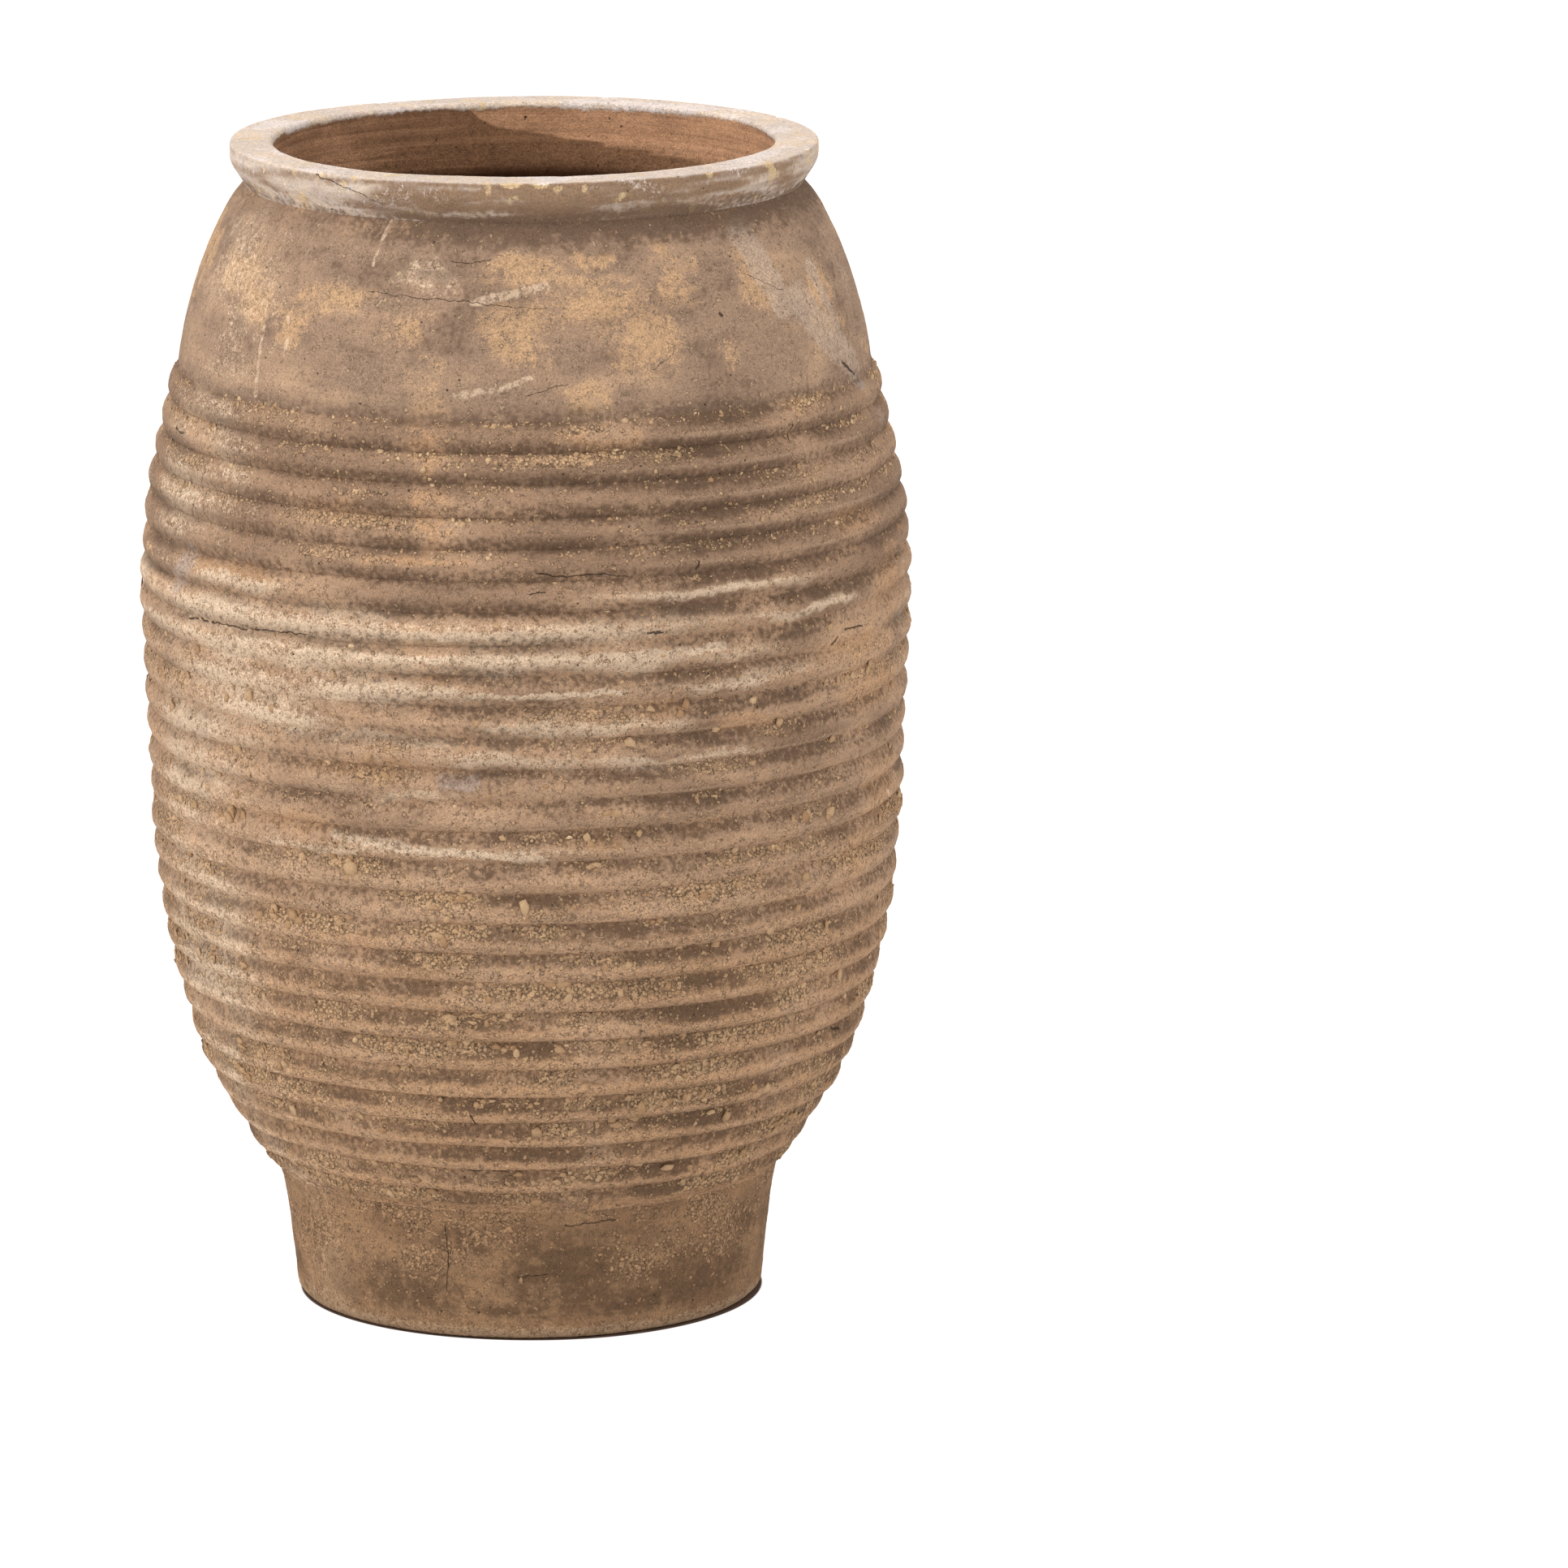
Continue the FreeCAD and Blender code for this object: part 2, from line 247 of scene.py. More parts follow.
class Canvas:
    """The outer wall as angle in degrees and height in millimetres, with ragged copies to draw on."""

    def __init__(self, turn, rise):
        self.angle = angle_of(turn)
        self.height = rise / MM
        self.radius = np.interp(rise, outline_heights, outline_radii) / MM
        fine_side = noise(turn, rise, 9 * MM, 32)
        fine_up = noise(turn, rise, 11 * MM, 34)
        self.ragged = []
        for seed in range(RAGGED_COPIES):
            rough_side = noise(turn, rise, 30 * MM, 36 + seed)
            rough_up = noise(turn, rise, 34 * MM, 39 + seed, 1.6)
            side = self.angle + STRAY_ANGLE * rough_side + FINE_STRAY_ANGLE * fine_side
            up = self.height + STRAY_HEIGHT * rough_up + FINE_STRAY_HEIGHT * fine_up
            self.ragged.append((side, up))
        self.near_side = STREAK_STRAY * noise(turn, rise, 14 * MM, 41) + fine_side
        self.near_up = STREAK_STRAY * noise(turn, rise, 14 * MM, 42) + fine_up

    def blots(self, blots, soft):
        """Share covered by ragged blots, each an angle, a height, a half angle and a half height."""
        covered = np.zeros_like(self.angle)
        for number, (centre_angle, centre_height, half_angle, half_height) in enumerate(blots):
            side, up = self.ragged[number % RAGGED_COPIES]
            distance = np.hypot((side - centre_angle) / half_angle, (up - centre_height) / half_height)
            covered = np.maximum(covered, 1 - ease(1 - soft, 1 + soft, distance))
        return covered

    def streaks(self, streaks):
        """Share covered by ragged streaks, each its two ends as angle and height, and its half width."""
        covered = np.zeros_like(self.angle)
        for start, end, half_width in streaks:
            radius = np.interp((start[1] + end[1]) / 2, outline_heights / MM, outline_radii / MM)
            start_x = start[0] * DEGREE * radius
            run_x = end[0] * DEGREE * radius - start_x
            run_y = end[1] - start[1]
            from_x = self.angle * DEGREE * self.radius + self.near_side - start_x
            from_y = self.height + self.near_up - start[1]
            share = np.clip((from_x * run_x + from_y * run_y) / (run_x**2 + run_y**2), 0, 1)
            distance = np.hypot(from_x - share * run_x, from_y - share * run_y)
            covered = np.maximum(covered, 1 - ease(0.5 * half_width, 1.3 * half_width, distance))
        return covered


# Blots on the shoulder and the coils: angle, height, half angle, half height
OCHRE_BLOTS = [
    (-1, 1024, 6, 15), (12.6, 1034, 3, 8), (13, 990, 9, 17), (-1, 967, 6, 26), (20, 956, 7, 28),
    (10, 909, 5, 13), (-16, 920, 3, 33), (-20, 965, 5, 18), (-34, 990, 8, 12), (-54, 977, 5, 22),
    (28, 1003, 3, 18), (37, 939, 4, 14), (63, 982, 5, 22), (63, 950, 6, 13), (42, 1057, 5, 7),
    (26, 1037, 3, 9), (-44, 965, 4, 14), (-62, 1000, 7, 18), (5, 1012, 12, 6), (46, 1000, 4, 26),
    (-50, 738, 12, 7), (-56, 690, 9, 7), (-27, 667, 8, 8), (-12, 655, 4, 8), (-22, 569, 12, 9),
    (-38, 514, 9, 10), (-50, 512, 4, 12), (20, 622, 6, 7), (35, 600, 5, 8), (28, 512, 5, 8),
    (-2, 330, 10, 8), (-36, 327, 10, 8), (10, 505, 6, 10), (58, 655, 9, 18), (64, 610, 9, 22),
    (50, 880, 6, 8), (60, 770, 6, 14), (-12, 420, 8, 10), (-15.5, 862, 2.5, 22), (-15, 800, 2.5, 30),
    (-28, 806, 8, 8), (-17, 765, 8, 5), (12, 868, 7, 7), (-30, 410, 8, 9), (-20, 262, 9, 8),
    (70, 700, 6, 30), (70, 500, 7, 40), (60, 450, 6, 30),
]
GREY_BLOTS = [
    (-29, 933, 12, 31), (-11.6, 959, 5, 22), (8.8, 946, 6, 25), (-3.8, 911, 10, 25), (16, 904, 5, 18),
    (-34.5, 1027, 10, 17), (-25, 982, 5, 8), (38, 1022, 3, 10), (30, 976, 3, 8), (48, 935, 9, 27),
    (-8, 1046, 30, 8), (22, 1052, 16, 8), (-60, 930, 10, 22),
]
PALE_BLOTS = [
    (-18, 1015, 6, 16), (-66, 1027, 10, 16), (-45.5, 941, 1.5, 7), (-48, 728, 14, 9), (-28, 714, 9, 8),
    (-55, 700, 40, 16), (-4, 697, 34, 15), (-40, 668, 40, 14), (4, 672, 28, 12), (28, 728, 18, 6),
    (46, 698, 12, 6), (24, 668, 14, 7), (-48, 636, 16, 14), (-22, 640, 14, 12), (-46, 606, 16, 12),
    (-18, 598, 14, 8), (-56, 575, 14, 14), (-56, 545, 14, 10), (-18, 545, 10, 6), (8, 612, 14, 8),
    (22, 575, 14, 8), (35, 645, 14, 8), (-12, 495, 16, 6), (-34, 489, 8, 6), (-4, 580, 12, 7),
    (-60, 600, 14, 22),
]
FOOT_BLOTS = [
    (-32, 42, 15, 24), (-13, 98, 8, 16), (11, 66, 17, 42), (46, 44, 20, 24), (62, 88, 8, 20),
    (28, 30, 16, 14), (-4, 30, 10, 12),
]

# Smears of slip and pale streaks: start and end as angle and height, and half width
SMEARS = [
    ((43, 1043), (53, 975), 15), ((53, 975), (73, 896), 17), ((60, 1000), (70, 925), 8),
    ((-12, 561), (-8, 561), 8), ((-60, 742), (-64, 715), 12),
]
PALE_STREAKS = [
    ((-30, 505), (2, 487), 5.0), ((-50, 700), (8, 697), 4.5), ((-36, 676), (30, 676), 3.5),
    ((-8, 641), (14, 644), 3.0),
]

# Where the wall was wiped smooth across the coils: angle, height, half angle, half height
SMEARED_PLACES = [(-43, 640, 20, 48), (60, 650, 12, 40)]

# Shares by angle in degrees or height in millimetres
COVE_ANGLES = [-180, -90, -50, -15, 70, 110, 180]
COVE_STRENGTHS = [0.6, 0.35, 0.3, 0.95, 0.9, 0.6, 0.6]
LEFT_LIGHT_HEIGHTS = [150, 330, 560, 620, 740, 800, 920, 1020]
LEFT_LIGHT_SHARES = [0.4, 0.65, 0.45, 0.18, 0.22, 0.5, 0.25, 0.3]
WARM_HEIGHTS = [130, 260, 400, 520, 640]
WARM_SHARES = [1.0, 0.85, 0.35, 0.14, 0.0]
GRIME_AND_SHADE_ANGLES = [-180, -90, -60, -30, 0, 25, 45, 60, 80, 180]
GRIME_AND_SHADE_STRENGTHS = [0.95, 0.75, 0.7, 0.82, 1.0, 1.05, 0.98, 0.8, 0.75, 0.95]

# How dark the grime and the painted groove shade lie from the lower joint of a coil to its upper one, at four
# heights of the wall
GRIME_AND_SHADE_SHARES = [0.0, 0.1, 0.2, 0.3, 0.4, 0.5, 0.6, 0.7, 0.8, 0.9, 1.0]
GRIME_AND_SHADE_HEIGHTS = [230, 450, 650, 790]
LEFT_GRIME_AND_SHADE = [
    [0.45, 0.1, 0.0, 0.0, 0.1, 0.4, 0.7, 0.77, 0.72, 0.64, 0.53],
    [0.24, 0.0, 0.0, 0.0, 0.06, 0.24, 0.47, 0.61, 0.7, 0.68, 0.47],
    [0.59, 0.53, 0.49, 0.43, 0.35, 0.2, 0.1, 0.23, 0.47, 0.59, 0.59],
    [0.6, 0.6, 0.62, 0.5, 0.3, 0.12, 0.0, 0.0, 0.15, 0.4, 0.6],
]
RIGHT_GRIME_AND_SHADE = [
    [0.56, 0.45, 0.33, 0.16, 0.07, 0.25, 0.55, 0.71, 0.8, 0.71, 0.59],
    [0.2, 0.05, 0.05, 0.0, 0.05, 0.28, 0.5, 0.58, 0.62, 0.57, 0.4],
    [0.2, 0.1, 0.2, 0.25, 0.12, 0.25, 0.48, 0.56, 0.6, 0.62, 0.5],
    [0.58, 0.55, 0.45, 0.28, 0.16, 0.04, 0.24, 0.47, 0.55, 0.58, 0.6],
]

# Heights in millimetres between which each zone begins or ends
BAND_BEGINS = (560, 640)
BAND_ENDS = (700, 750)
UPPER_BEGINS = (690, 760)
LOWER_ENDS = (380, 520)
FOOT_EDGE_ENDS = (6, 18)
FOOT_STAIN_BEGINS = (8, 30)
FOOT_ENDS = (95, 135)
COVE_BEGINS = (1026, 1056)
LOW_LINE_ENDS = (560, 700)
HIGH_LINE_BEGINS = (700, 780)
BROAD_LINE_ENDS = (520, 620)
CRUST_BEGINS = (15, 90)
FOOT_CRUST_BEGINS = (70, 125)
COARSE_ENDS = (430, 560)
MIDDLE_BEGINS = (440, 560)
MIDDLE_ENDS = (640, 700)
TOP_BEGINS = (720, 790)
TOP_ENDS = (885, 905)

# Angles in degrees between which each zone begins or ends
BACK_BEGINS = (66, 84)
LEFT_BEGINS = (35, 62)
RIGHT_BEGINS = (-20, 40)
RIGHT_ENDS = (45, 75)
RIGHT_GRIME_AND_SHADE_BEGINS = (-5, 28)
RIGHT_GRIME_AND_SHADE_ENDS = (58, 78)


def smeared_over(angle, height):
    """Share by which the coils are wiped flat at an angle in degrees and a height in millimetres."""
    total = np.zeros_like(angle)
    for centre_angle, centre_height, half_angle, half_height in SMEARED_PLACES:
        across = (angle - centre_angle) / half_angle
        above = (height - centre_height) / half_height
        total = np.maximum(total, 1 - ease(0.5, 1.3, np.hypot(across, above)))
    return total


def coil_share(course):
    """Share of the way up the coil that a course number lies on."""
    return course - np.floor(np.minimum(course, COIL_COUNT - 1e-6))


def groove_grime_and_shade(height, share, to_right):
    """How dark the grime and the painted groove shade lie at a height and a share of the coil, blended from
    left to right.
    """
    groove = np.zeros_like(share)
    for number, (left_row, right_row) in enumerate(zip(LEFT_GRIME_AND_SHADE, RIGHT_GRIME_AND_SHADE)):
        weight = np.interp(height, GRIME_AND_SHADE_HEIGHTS, np.arange(len(GRIME_AND_SHADE_HEIGHTS)) == number)
        left_value = np.interp(share, GRIME_AND_SHADE_SHARES, left_row)
        right_value = np.interp(share, GRIME_AND_SHADE_SHARES, right_row)
        groove = groove + weight * (left_value + (right_value - left_value) * to_right)
    return groove


def tones(turn, rise, course):
    """The colour shares of the outer wall at each point."""
    canvas = Canvas(turn, rise)
    angle = canvas.angle
    height = canvas.height
    share = coil_share(course)
    on_coils = (course > 0) & (course < COIL_COUNT)
    above_coils = course > COIL_COUNT
    back = ease(*BACK_BEGINS, np.abs(angle))
    blots = fractal(turn, rise, 90 * MM, 51, 4, 1.3)
    bands = fractal(turn, rise, 34 * MM, 55, 3, 3.5)
    fine = fractal(turn, rise, 14 * MM, 59, 3, 1.5)

    ochre = ease(0.15, 0.85, blots + 0.4 * fine) * back
    ochre = np.maximum(ochre, canvas.blots(OCHRE_BLOTS, 0.85))
    ochre = ochre * np.clip(0.9 + 0.45 * fine + 0.25 * bands, 0, 1)
    grey = canvas.blots(GREY_BLOTS, 0.8)
    ochre = ochre * (1 - grey)

    band_zone = ease(*BAND_BEGINS, height) * (1 - ease(*BAND_ENDS, height))
    pale = ease(0.0, 0.9, bands + 0.3 * fine + 0.25 * blots) * (0.25 + 0.75 * band_zone) * back
    pale = np.maximum(pale, canvas.blots(PALE_BLOTS, 0.8))
    pale = pale * (0.7 + 0.5 * bands) * (1 - 0.45 * above_coils)
    # Painted light: the left side made paler, by height
    left_side_light = ease(*LEFT_BEGINS, -angle) * np.interp(height, LEFT_LIGHT_HEIGHTS, LEFT_LIGHT_SHARES)
    pale = np.maximum(pale, left_side_light * np.clip(1 + blots, 0, 1.5) * (1 - back))
    pale = np.maximum(pale, 0.9 * canvas.streaks(PALE_STREAKS))

    smear = ease(0.45, 0.9, fractal(turn, rise, 70 * MM, 63, 3)) * back * 0.7
    smear = np.maximum(smear, canvas.streaks(SMEARS))

    upper = ease(*UPPER_BEGINS, height + 20 * bands)
    lower = 1 - ease(*LOWER_ENDS, height + 40 * bands)
    right = ease(*RIGHT_BEGINS, angle) * (1 - ease(*RIGHT_ENDS, angle))
    stain = 0.38 + 0.37 * upper - 0.04 * lower + 0.15 * right * (1 - upper) + 0.32 * bands + 0.2 * blots
    stain = np.clip(np.maximum(stain - 0.35 * ochre, 0.9 * grey) - 0.4 * pale, 0, 1)
    stain = np.maximum(stain, (1 - ease(0.1, 1.3, course)) * on_coils)
    warm = np.interp(height, WARM_HEIGHTS, WARM_SHARES) * (1 + 0.4 * right)
    ochre = np.maximum(ochre, np.clip(warm * (1 + 0.6 * blots + 0.4 * bands), 0, 0.95) * on_coils)
    pale = np.maximum(pale, (1 - ease(*FOOT_EDGE_ENDS, height)) * (0.8 + 0.3 * bands))

    # Grime on the coils' upper sides and painted shade in the grooves between coils, strongest at the front
    # and weakest on the left
    wavy_share = np.clip(share + 0.07 * bands + 0.05 * fine, 0, 1)
    to_right = ease(*RIGHT_GRIME_AND_SHADE_BEGINS, angle) * (1 - ease(*RIGHT_GRIME_AND_SHADE_ENDS, angle))
    strength = 1 + 0.35 * bands + 0.25 * blots + 0.2 * fine
    strength = np.interp(angle, GRIME_AND_SHADE_ANGLES, GRIME_AND_SHADE_STRENGTHS) * strength
    strength = strength * (1 - 0.6 * smeared_over(angle, height))
    grime_and_shade = np.where(course > 0, groove_grime_and_shade(height, wavy_share, to_right) * strength, 0)
    grime_and_shade = grime_and_shade * (1 - ease(0.0, 0.8, course - COIL_COUNT)) * ease(0.0, 0.6, course)
    foot_stain = ease(-0.5, 0.9, blots + 0.5 * fine + 0.3 * bands) * (0.3 + 0.5 * back)
    foot_blots = canvas.blots(FOOT_BLOTS, 0.9) * np.clip(0.85 + 0.5 * fine, 0, 1)
    foot_stain = np.maximum(foot_stain, foot_blots) * (1 - ease(*FOOT_ENDS, height))
    grime_and_shade = np.maximum(grime_and_shade, foot_stain * ease(*FOOT_STAIN_BEGINS, height))
    film = ease(0.1, 0.9, bands + 0.6 * blots + 0.7 * fine) * above_coils * 0.45
    grime_and_shade = np.maximum(grime_and_shade, film * (1 - ochre))
    # Painted shade in the cove under the rim, with some grime, weakest on the left
    cove_shade_strength = np.interp(angle + 20 * blots, COVE_ANGLES, COVE_STRENGTHS)
    cove_shade_and_grime = ease(*COVE_BEGINS, height + 8 * fine) * cove_shade_strength
    grime_and_shade = np.clip(np.maximum(grime_and_shade, cove_shade_and_grime), 0, 1)

    # Pale lines along the coils' crests, partly wear and partly painted highlight
    low_line = hump(share - 0.1 + 0.03 * bands, 0.06) * (1 - ease(*LOW_LINE_ENDS, height))
    high_line = hump(share - 0.36 + 0.05 * bands, 0.08) * ease(*HIGH_LINE_BEGINS, height) * to_right
    broad_line = 0.5 * ease(0.05, 0.2, share) * (1 - ease(0.35, 0.5, share))
    broad_line = broad_line * (1 - ease(*BROAD_LINE_ENDS, height))
    crest = np.where(on_coils, np.maximum(np.maximum(low_line, high_line), broad_line), 0)
    crest = crest * np.clip(0.75 + 0.7 * bands + 0.3 * fine, 0, 1.3) * ease(0.5, 1.5, course)
    return {"ochre": ochre, "pale": pale, "smear": smear, "stain": stain, "grime_and_shade": grime_and_shade, "crest": crest}


def crust(turn, rise, course):
    """Share of granular lime crust, on the upper sides of the coils."""
    share = coil_share(course)
    height = rise / MM
    low_zone = 1 - ease(*COARSE_ENDS, height)
    middle_zone = 0.6 * ease(*MIDDLE_BEGINS, height) * (1 - ease(*MIDDLE_ENDS, height))
    top_zone = 0.75 * ease(*TOP_BEGINS, height) * (1 - ease(*TOP_ENDS, height))
    zone = (low_zone + middle_zone + top_zone) * ease(*CRUST_BEGINS, height)
    clusters = fractal(turn, rise, 55 * MM, 71, 3, 2.0)
    upper_side = ease(0.42, 0.68, share) * (1 - 0.5 * ease(0.94, 1.0, share))
    upper_side = np.where(course < 0, 0.4 + 0.5 * ease(*FOOT_CRUST_BEGINS, height), upper_side)
    thin = 0.08 + 0.24 * low_zone * ease(-0.6, 0.4, clusters)
    return np.clip(zone * (thin + upper_side * ease(-0.15, 0.95, clusters)), 0, 1)


def hand_relief(turn, rise, course, crust_share):
    """How far the outer surface stands proud of the plain shape."""
    along = course * COURSE_SIZE
    pinch = noise(turn, along, 34 * MM, 81, 2.6) * UNDULATION
    lumps = fractal(turn, rise, 13 * MM, 84, 2) * LUMPS
    grit = noise(turn, rise, 4.2 * MM, 87) * GRIT
    dents = -ease(0.62, 0.85, noise(turn, rise, 9 * MM, 88)) * 0.8 * MM
    smooth_share = 1 - 0.55 * ease(COIL_COUNT, COIL_COUNT + 0.6, course)
    fade = 1 - ease(NECK_HEIGHT - 14 * MM, NECK_HEIGHT, rise)
    granules = ease(0.1, 0.7, fractal(turn, rise, 6.5 * MM, 89, 2)) * ease(0.35, 0.75, crust_share)
    return fade * (smooth_share * (pinch + lumps + dents) + grit + granules * CRUST_RISE)


def inner_relief(turn, rise):
    """How far the inner surface is wiped out or in from the plain shape."""
    wave = noise(turn, rise, 120 * MM, 91, 1.5) * INNER_WAVE
    wipes = fractal(turn, rise, 16 * MM, 92, 2, 12) * INNER_WIPE
    fade = 1 - ease(NECK_HEIGHT - 10 * MM, NECK_HEIGHT, rise)
    return (wave + wipes) * fade


def grid(rows):
    """Turn angles of a whole grid with that many rows."""
    steps = np.arange(TURN_STEPS) * FULL_TURN / TURN_STEPS
    return np.broadcast_to(steps, (rows, TURN_STEPS))


def each_row(turn, values):
    """One value for each row of a grid, repeated round the turn."""
    return np.broadcast_to(values[:, None], turn.shape)


def place(turn, radius, rise):
    """Points from turns, distances from the axis and heights."""
    return np.stack([radius * np.sin(turn), -radius * np.cos(turn), rise], axis=-1)


def build_mesh(name, points, corners, sizes):
    """A smooth mesh from its points, the point numbers of its faces in a row, and their corner counts."""
    mesh = bpy.data.meshes.new(name)
    mesh.vertices.add(len(points))
    mesh.vertices.foreach_set("co", points.astype(np.float32).ravel())
    mesh.loops.add(len(corners))
    mesh.loops.foreach_set("vertex_index", corners.astype(np.int32))
    mesh.polygons.add(len(sizes))
    mesh.polygons.foreach_set("loop_start", (np.cumsum(sizes) - sizes).astype(np.int32))
    mesh.polygons.foreach_set("use_smooth", np.ones(len(sizes), bool))
    mesh.update(calc_edges=True)
    return mesh


def add_values(mesh, name, values):
    """Gives a mesh a named value at each point, zero at the points that are left over."""
    data = np.zeros(len(mesh.vertices), np.float32)
    data[: values.size] = values.ravel()
    mesh.attributes.new(name, "FLOAT", "POINT").data.foreach_set("value", data)


def add_object(name, data):
    added = bpy.data.objects.new(name, data)
    bpy.context.scene.collection.objects.link(added)
    return added


TONE_NAMES = ("ochre", "pale", "smear", "stain", "grime_and_shade", "crest", "crust", "inside", "lit_inside_and_tide")


def make_piece(node, slot, points, shares, sharp_rows=(), closed=True):
    """A ring from rows of points that go round its cross-section; an open one ends in its two poles."""
    rows, steps = points.shape[:2]
    vertices = points.reshape(-1, 3)
    row = np.arange(rows if closed else rows - 1)[:, None] * steps
    next_row = (row + steps) % (rows * steps)
    column = np.arange(steps)
    next_column = (column + 1) % steps
    quads = np.stack([row + column, row + next_column, next_row + next_column, next_row + column], axis=-1)
    corners = quads.ravel()
    sizes = np.full(quads.shape[0] * steps, 4)
    if not closed:
        first = len(vertices)
        vertices = np.concatenate([vertices, [[0, 0, points[0, 0, 2]], [0, 0, points[-1, 0, 2]]]])
        last_row = (rows - 1) * steps
        low_fan = np.stack([next_column, column, np.full(steps, first)], axis=-1)
        high_fan = np.stack([last_row + column, last_row + next_column, np.full(steps, first + 1)], axis=-1)
        corners = np.concatenate([corners, low_fan.ravel(), high_fan.ravel()])
        sizes = np.concatenate([sizes, np.full(2 * steps, 3)])
    name = f"{node}_clay"
    mesh = build_mesh(name, vertices, corners, sizes)
    if sharp_rows:
        ends = np.empty(len(mesh.edges) * 2, np.int32)
        mesh.edges.foreach_get("vertices", ends)
        edge_rows = ends.reshape(-1, 2) // steps
        sharp = (edge_rows[:, 0] == edge_rows[:, 1]) & np.isin(edge_rows[:, 0], sharp_rows)
        mesh.edges.foreach_set("use_edge_sharp", sharp)
    for tone_name, values in shares.items():
        add_values(mesh, tone_name, values)
    piece = add_object(name, mesh)
    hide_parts(node)
    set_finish(piece, slot)
    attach(piece, "root")
    return piece


# Arched edge of the lighter orange clay inside the mouth, partly painted light on the lit inner wall and
# partly a tide mark, angle in degrees and height in millimetres
TIDE_ANGLES = [0, 100, 128, 132, 146, 158, 169.8, 178, 188, 194, 200, 230, 360]
TIDE_HEIGHTS = [1030, 1034, 1046, 1050, 1055, 1060, 1066, 1070, 1078, 1096, 1112, 1120, 1030]
DRIFT_ANGLES = [0, 150, 185, 205, 235, 290, 360]
DRIFTS = [0.0, -0.05, -0.25, 0.05, 0.4, 0.3, 0.0]


def lit_inside_and_tide(turn, rise):
    """Share of lighter orange clay inside the mouth above an arched edge: partly painted light on the lit
    inner wall, partly cleaner clay above the tide mark that liquid left.
    """
    angle = turn / DEGREE
    height = rise / MM
    edge = np.interp(angle, TIDE_ANGLES, TIDE_HEIGHTS) + 3 * noise(turn, rise, 22 * MM, 96, 2)
    above_edge = ease(-1.5, 1.5, height - edge)
    mark = hump(height - edge + 3, 2.5)
    drift = np.interp(angle, DRIFT_ANGLES, DRIFTS)
    return np.clip(above_edge + drift + 0.25 * fractal(turn, rise, 30 * MM, 97, 3, 3) - 0.35 * mark, -0.4, 1)


def outer_surface(turn, radius, rise, course):
    """Points and colour shares of outer rows whose plain radius and height are given."""
    crust_share = crust(turn, rise, course)
    proud = hand_relief(turn, rise, course, crust_share)
    toward, upward = outward(rise)
    upward = upward * ease(4 * MM, 20 * MM, rise)
    settled_radius, settled_rise = settle(turn, radius, rise)
    shares = tones(turn, rise, course)
    shares["crust"] = crust_share
    return settled_radius + proud * toward, settled_rise + proud * upward, shares


def resample(radii, heights, spacing):
    """Points along a profile, evenly spaced, that keep its ends."""
    lengths = np.concatenate([[0], np.cumsum(np.hypot(np.diff(radii), np.diff(heights)))])
    count = max(2, math.ceil(lengths[-1] / spacing) + 1)
    stations = np.linspace(0, lengths[-1], count)
    return np.interp(stations, lengths, radii), np.interp(stations, lengths, heights)


def softened(values, reach):
    """Values averaged over so many neighbours each side, with the ends kept."""
    result = values.copy()
    for index in range(1, len(values) - 1):
        span = min(reach, index, len(values) - 1 - index)
        result[index] = values[index - span : index + span + 1].mean()
    return result


def coil_shape(turn, number, share):
    """Plain radius and height on the lobe of one coil, and how far it swells past its two joints."""
    low_radius, high_radius = joint_radii[number], joint_radii[number + 1]
    low_height, high_height = joint_heights[number], joint_heights[number + 1]
    chord_radius = low_radius + (high_radius - low_radius) * share
    chord_rise = low_height + (high_height - low_height) * share
    along = np.full_like(turn, (number + 0.5) * COURSE_SIZE)
    middle_height = (low_height + high_height) / 2 / MM
    crest = np.interp(middle_height, SHAPE_HEIGHTS, CREST_SHARES)
    crest = crest + SKEW_CHANGE * noise(turn, along, 29 * MM, 21, 5)
    power = np.interp(middle_height, SHAPE_HEIGHTS, VALLEY_POWERS)
    bent = np.clip(share, 0, 1) ** (math.log(0.5) / np.log(crest))
    swell = 1 + BULGE_CHANGE_SHARE * noise(turn, along, 29 * MM, 22, 4)
    lobe = COIL_BULGE * swell * np.maximum(4 * bent * (1 - bent), 0) ** power
    lobe = lobe * (1 - 0.5 * smeared_over(angle_of(turn), middle_height))
    if number == 0:
        lobe = lobe * ease(0.0, 0.8, share)
    length = np.hypot(high_radius - low_radius, high_height - low_height)
    out_radial = (high_height - low_height) / length
    out_upright = -(high_radius - low_radius) / length
    return chord_radius, chord_rise, lobe * out_radial, lobe * out_upright


def make_ring(node, slot, outer, shares, inner_turn, inner_radius, inner_rise):
    """A ring from its finished outer rows and the plain shape of its inner rows."""
    settled_radius, settled_rise = settle(inner_turn, inner_radius, inner_rise)
    inner = place(inner_turn, settled_radius + inner_relief(inner_turn, inner_rise), settled_rise)
    outer_blank = np.zeros(outer.shape[:2])
    inner_blank = np.zeros(inner_turn.shape)
    shares = {name: np.concatenate([values, inner_blank]) for name, values in shares.items()}
    shares["inside"] = np.concatenate([outer_blank, inner_blank + 1])
    shares["lit_inside_and_tide"] = np.concatenate([outer_blank, lit_inside_and_tide(inner_turn, inner_rise)])
    last_row = len(outer) - 1
    sharp_rows = (0, last_row, last_row + 1, last_row + len(inner))
    return make_piece(node, slot, np.concatenate([outer, inner]), shares, sharp_rows)


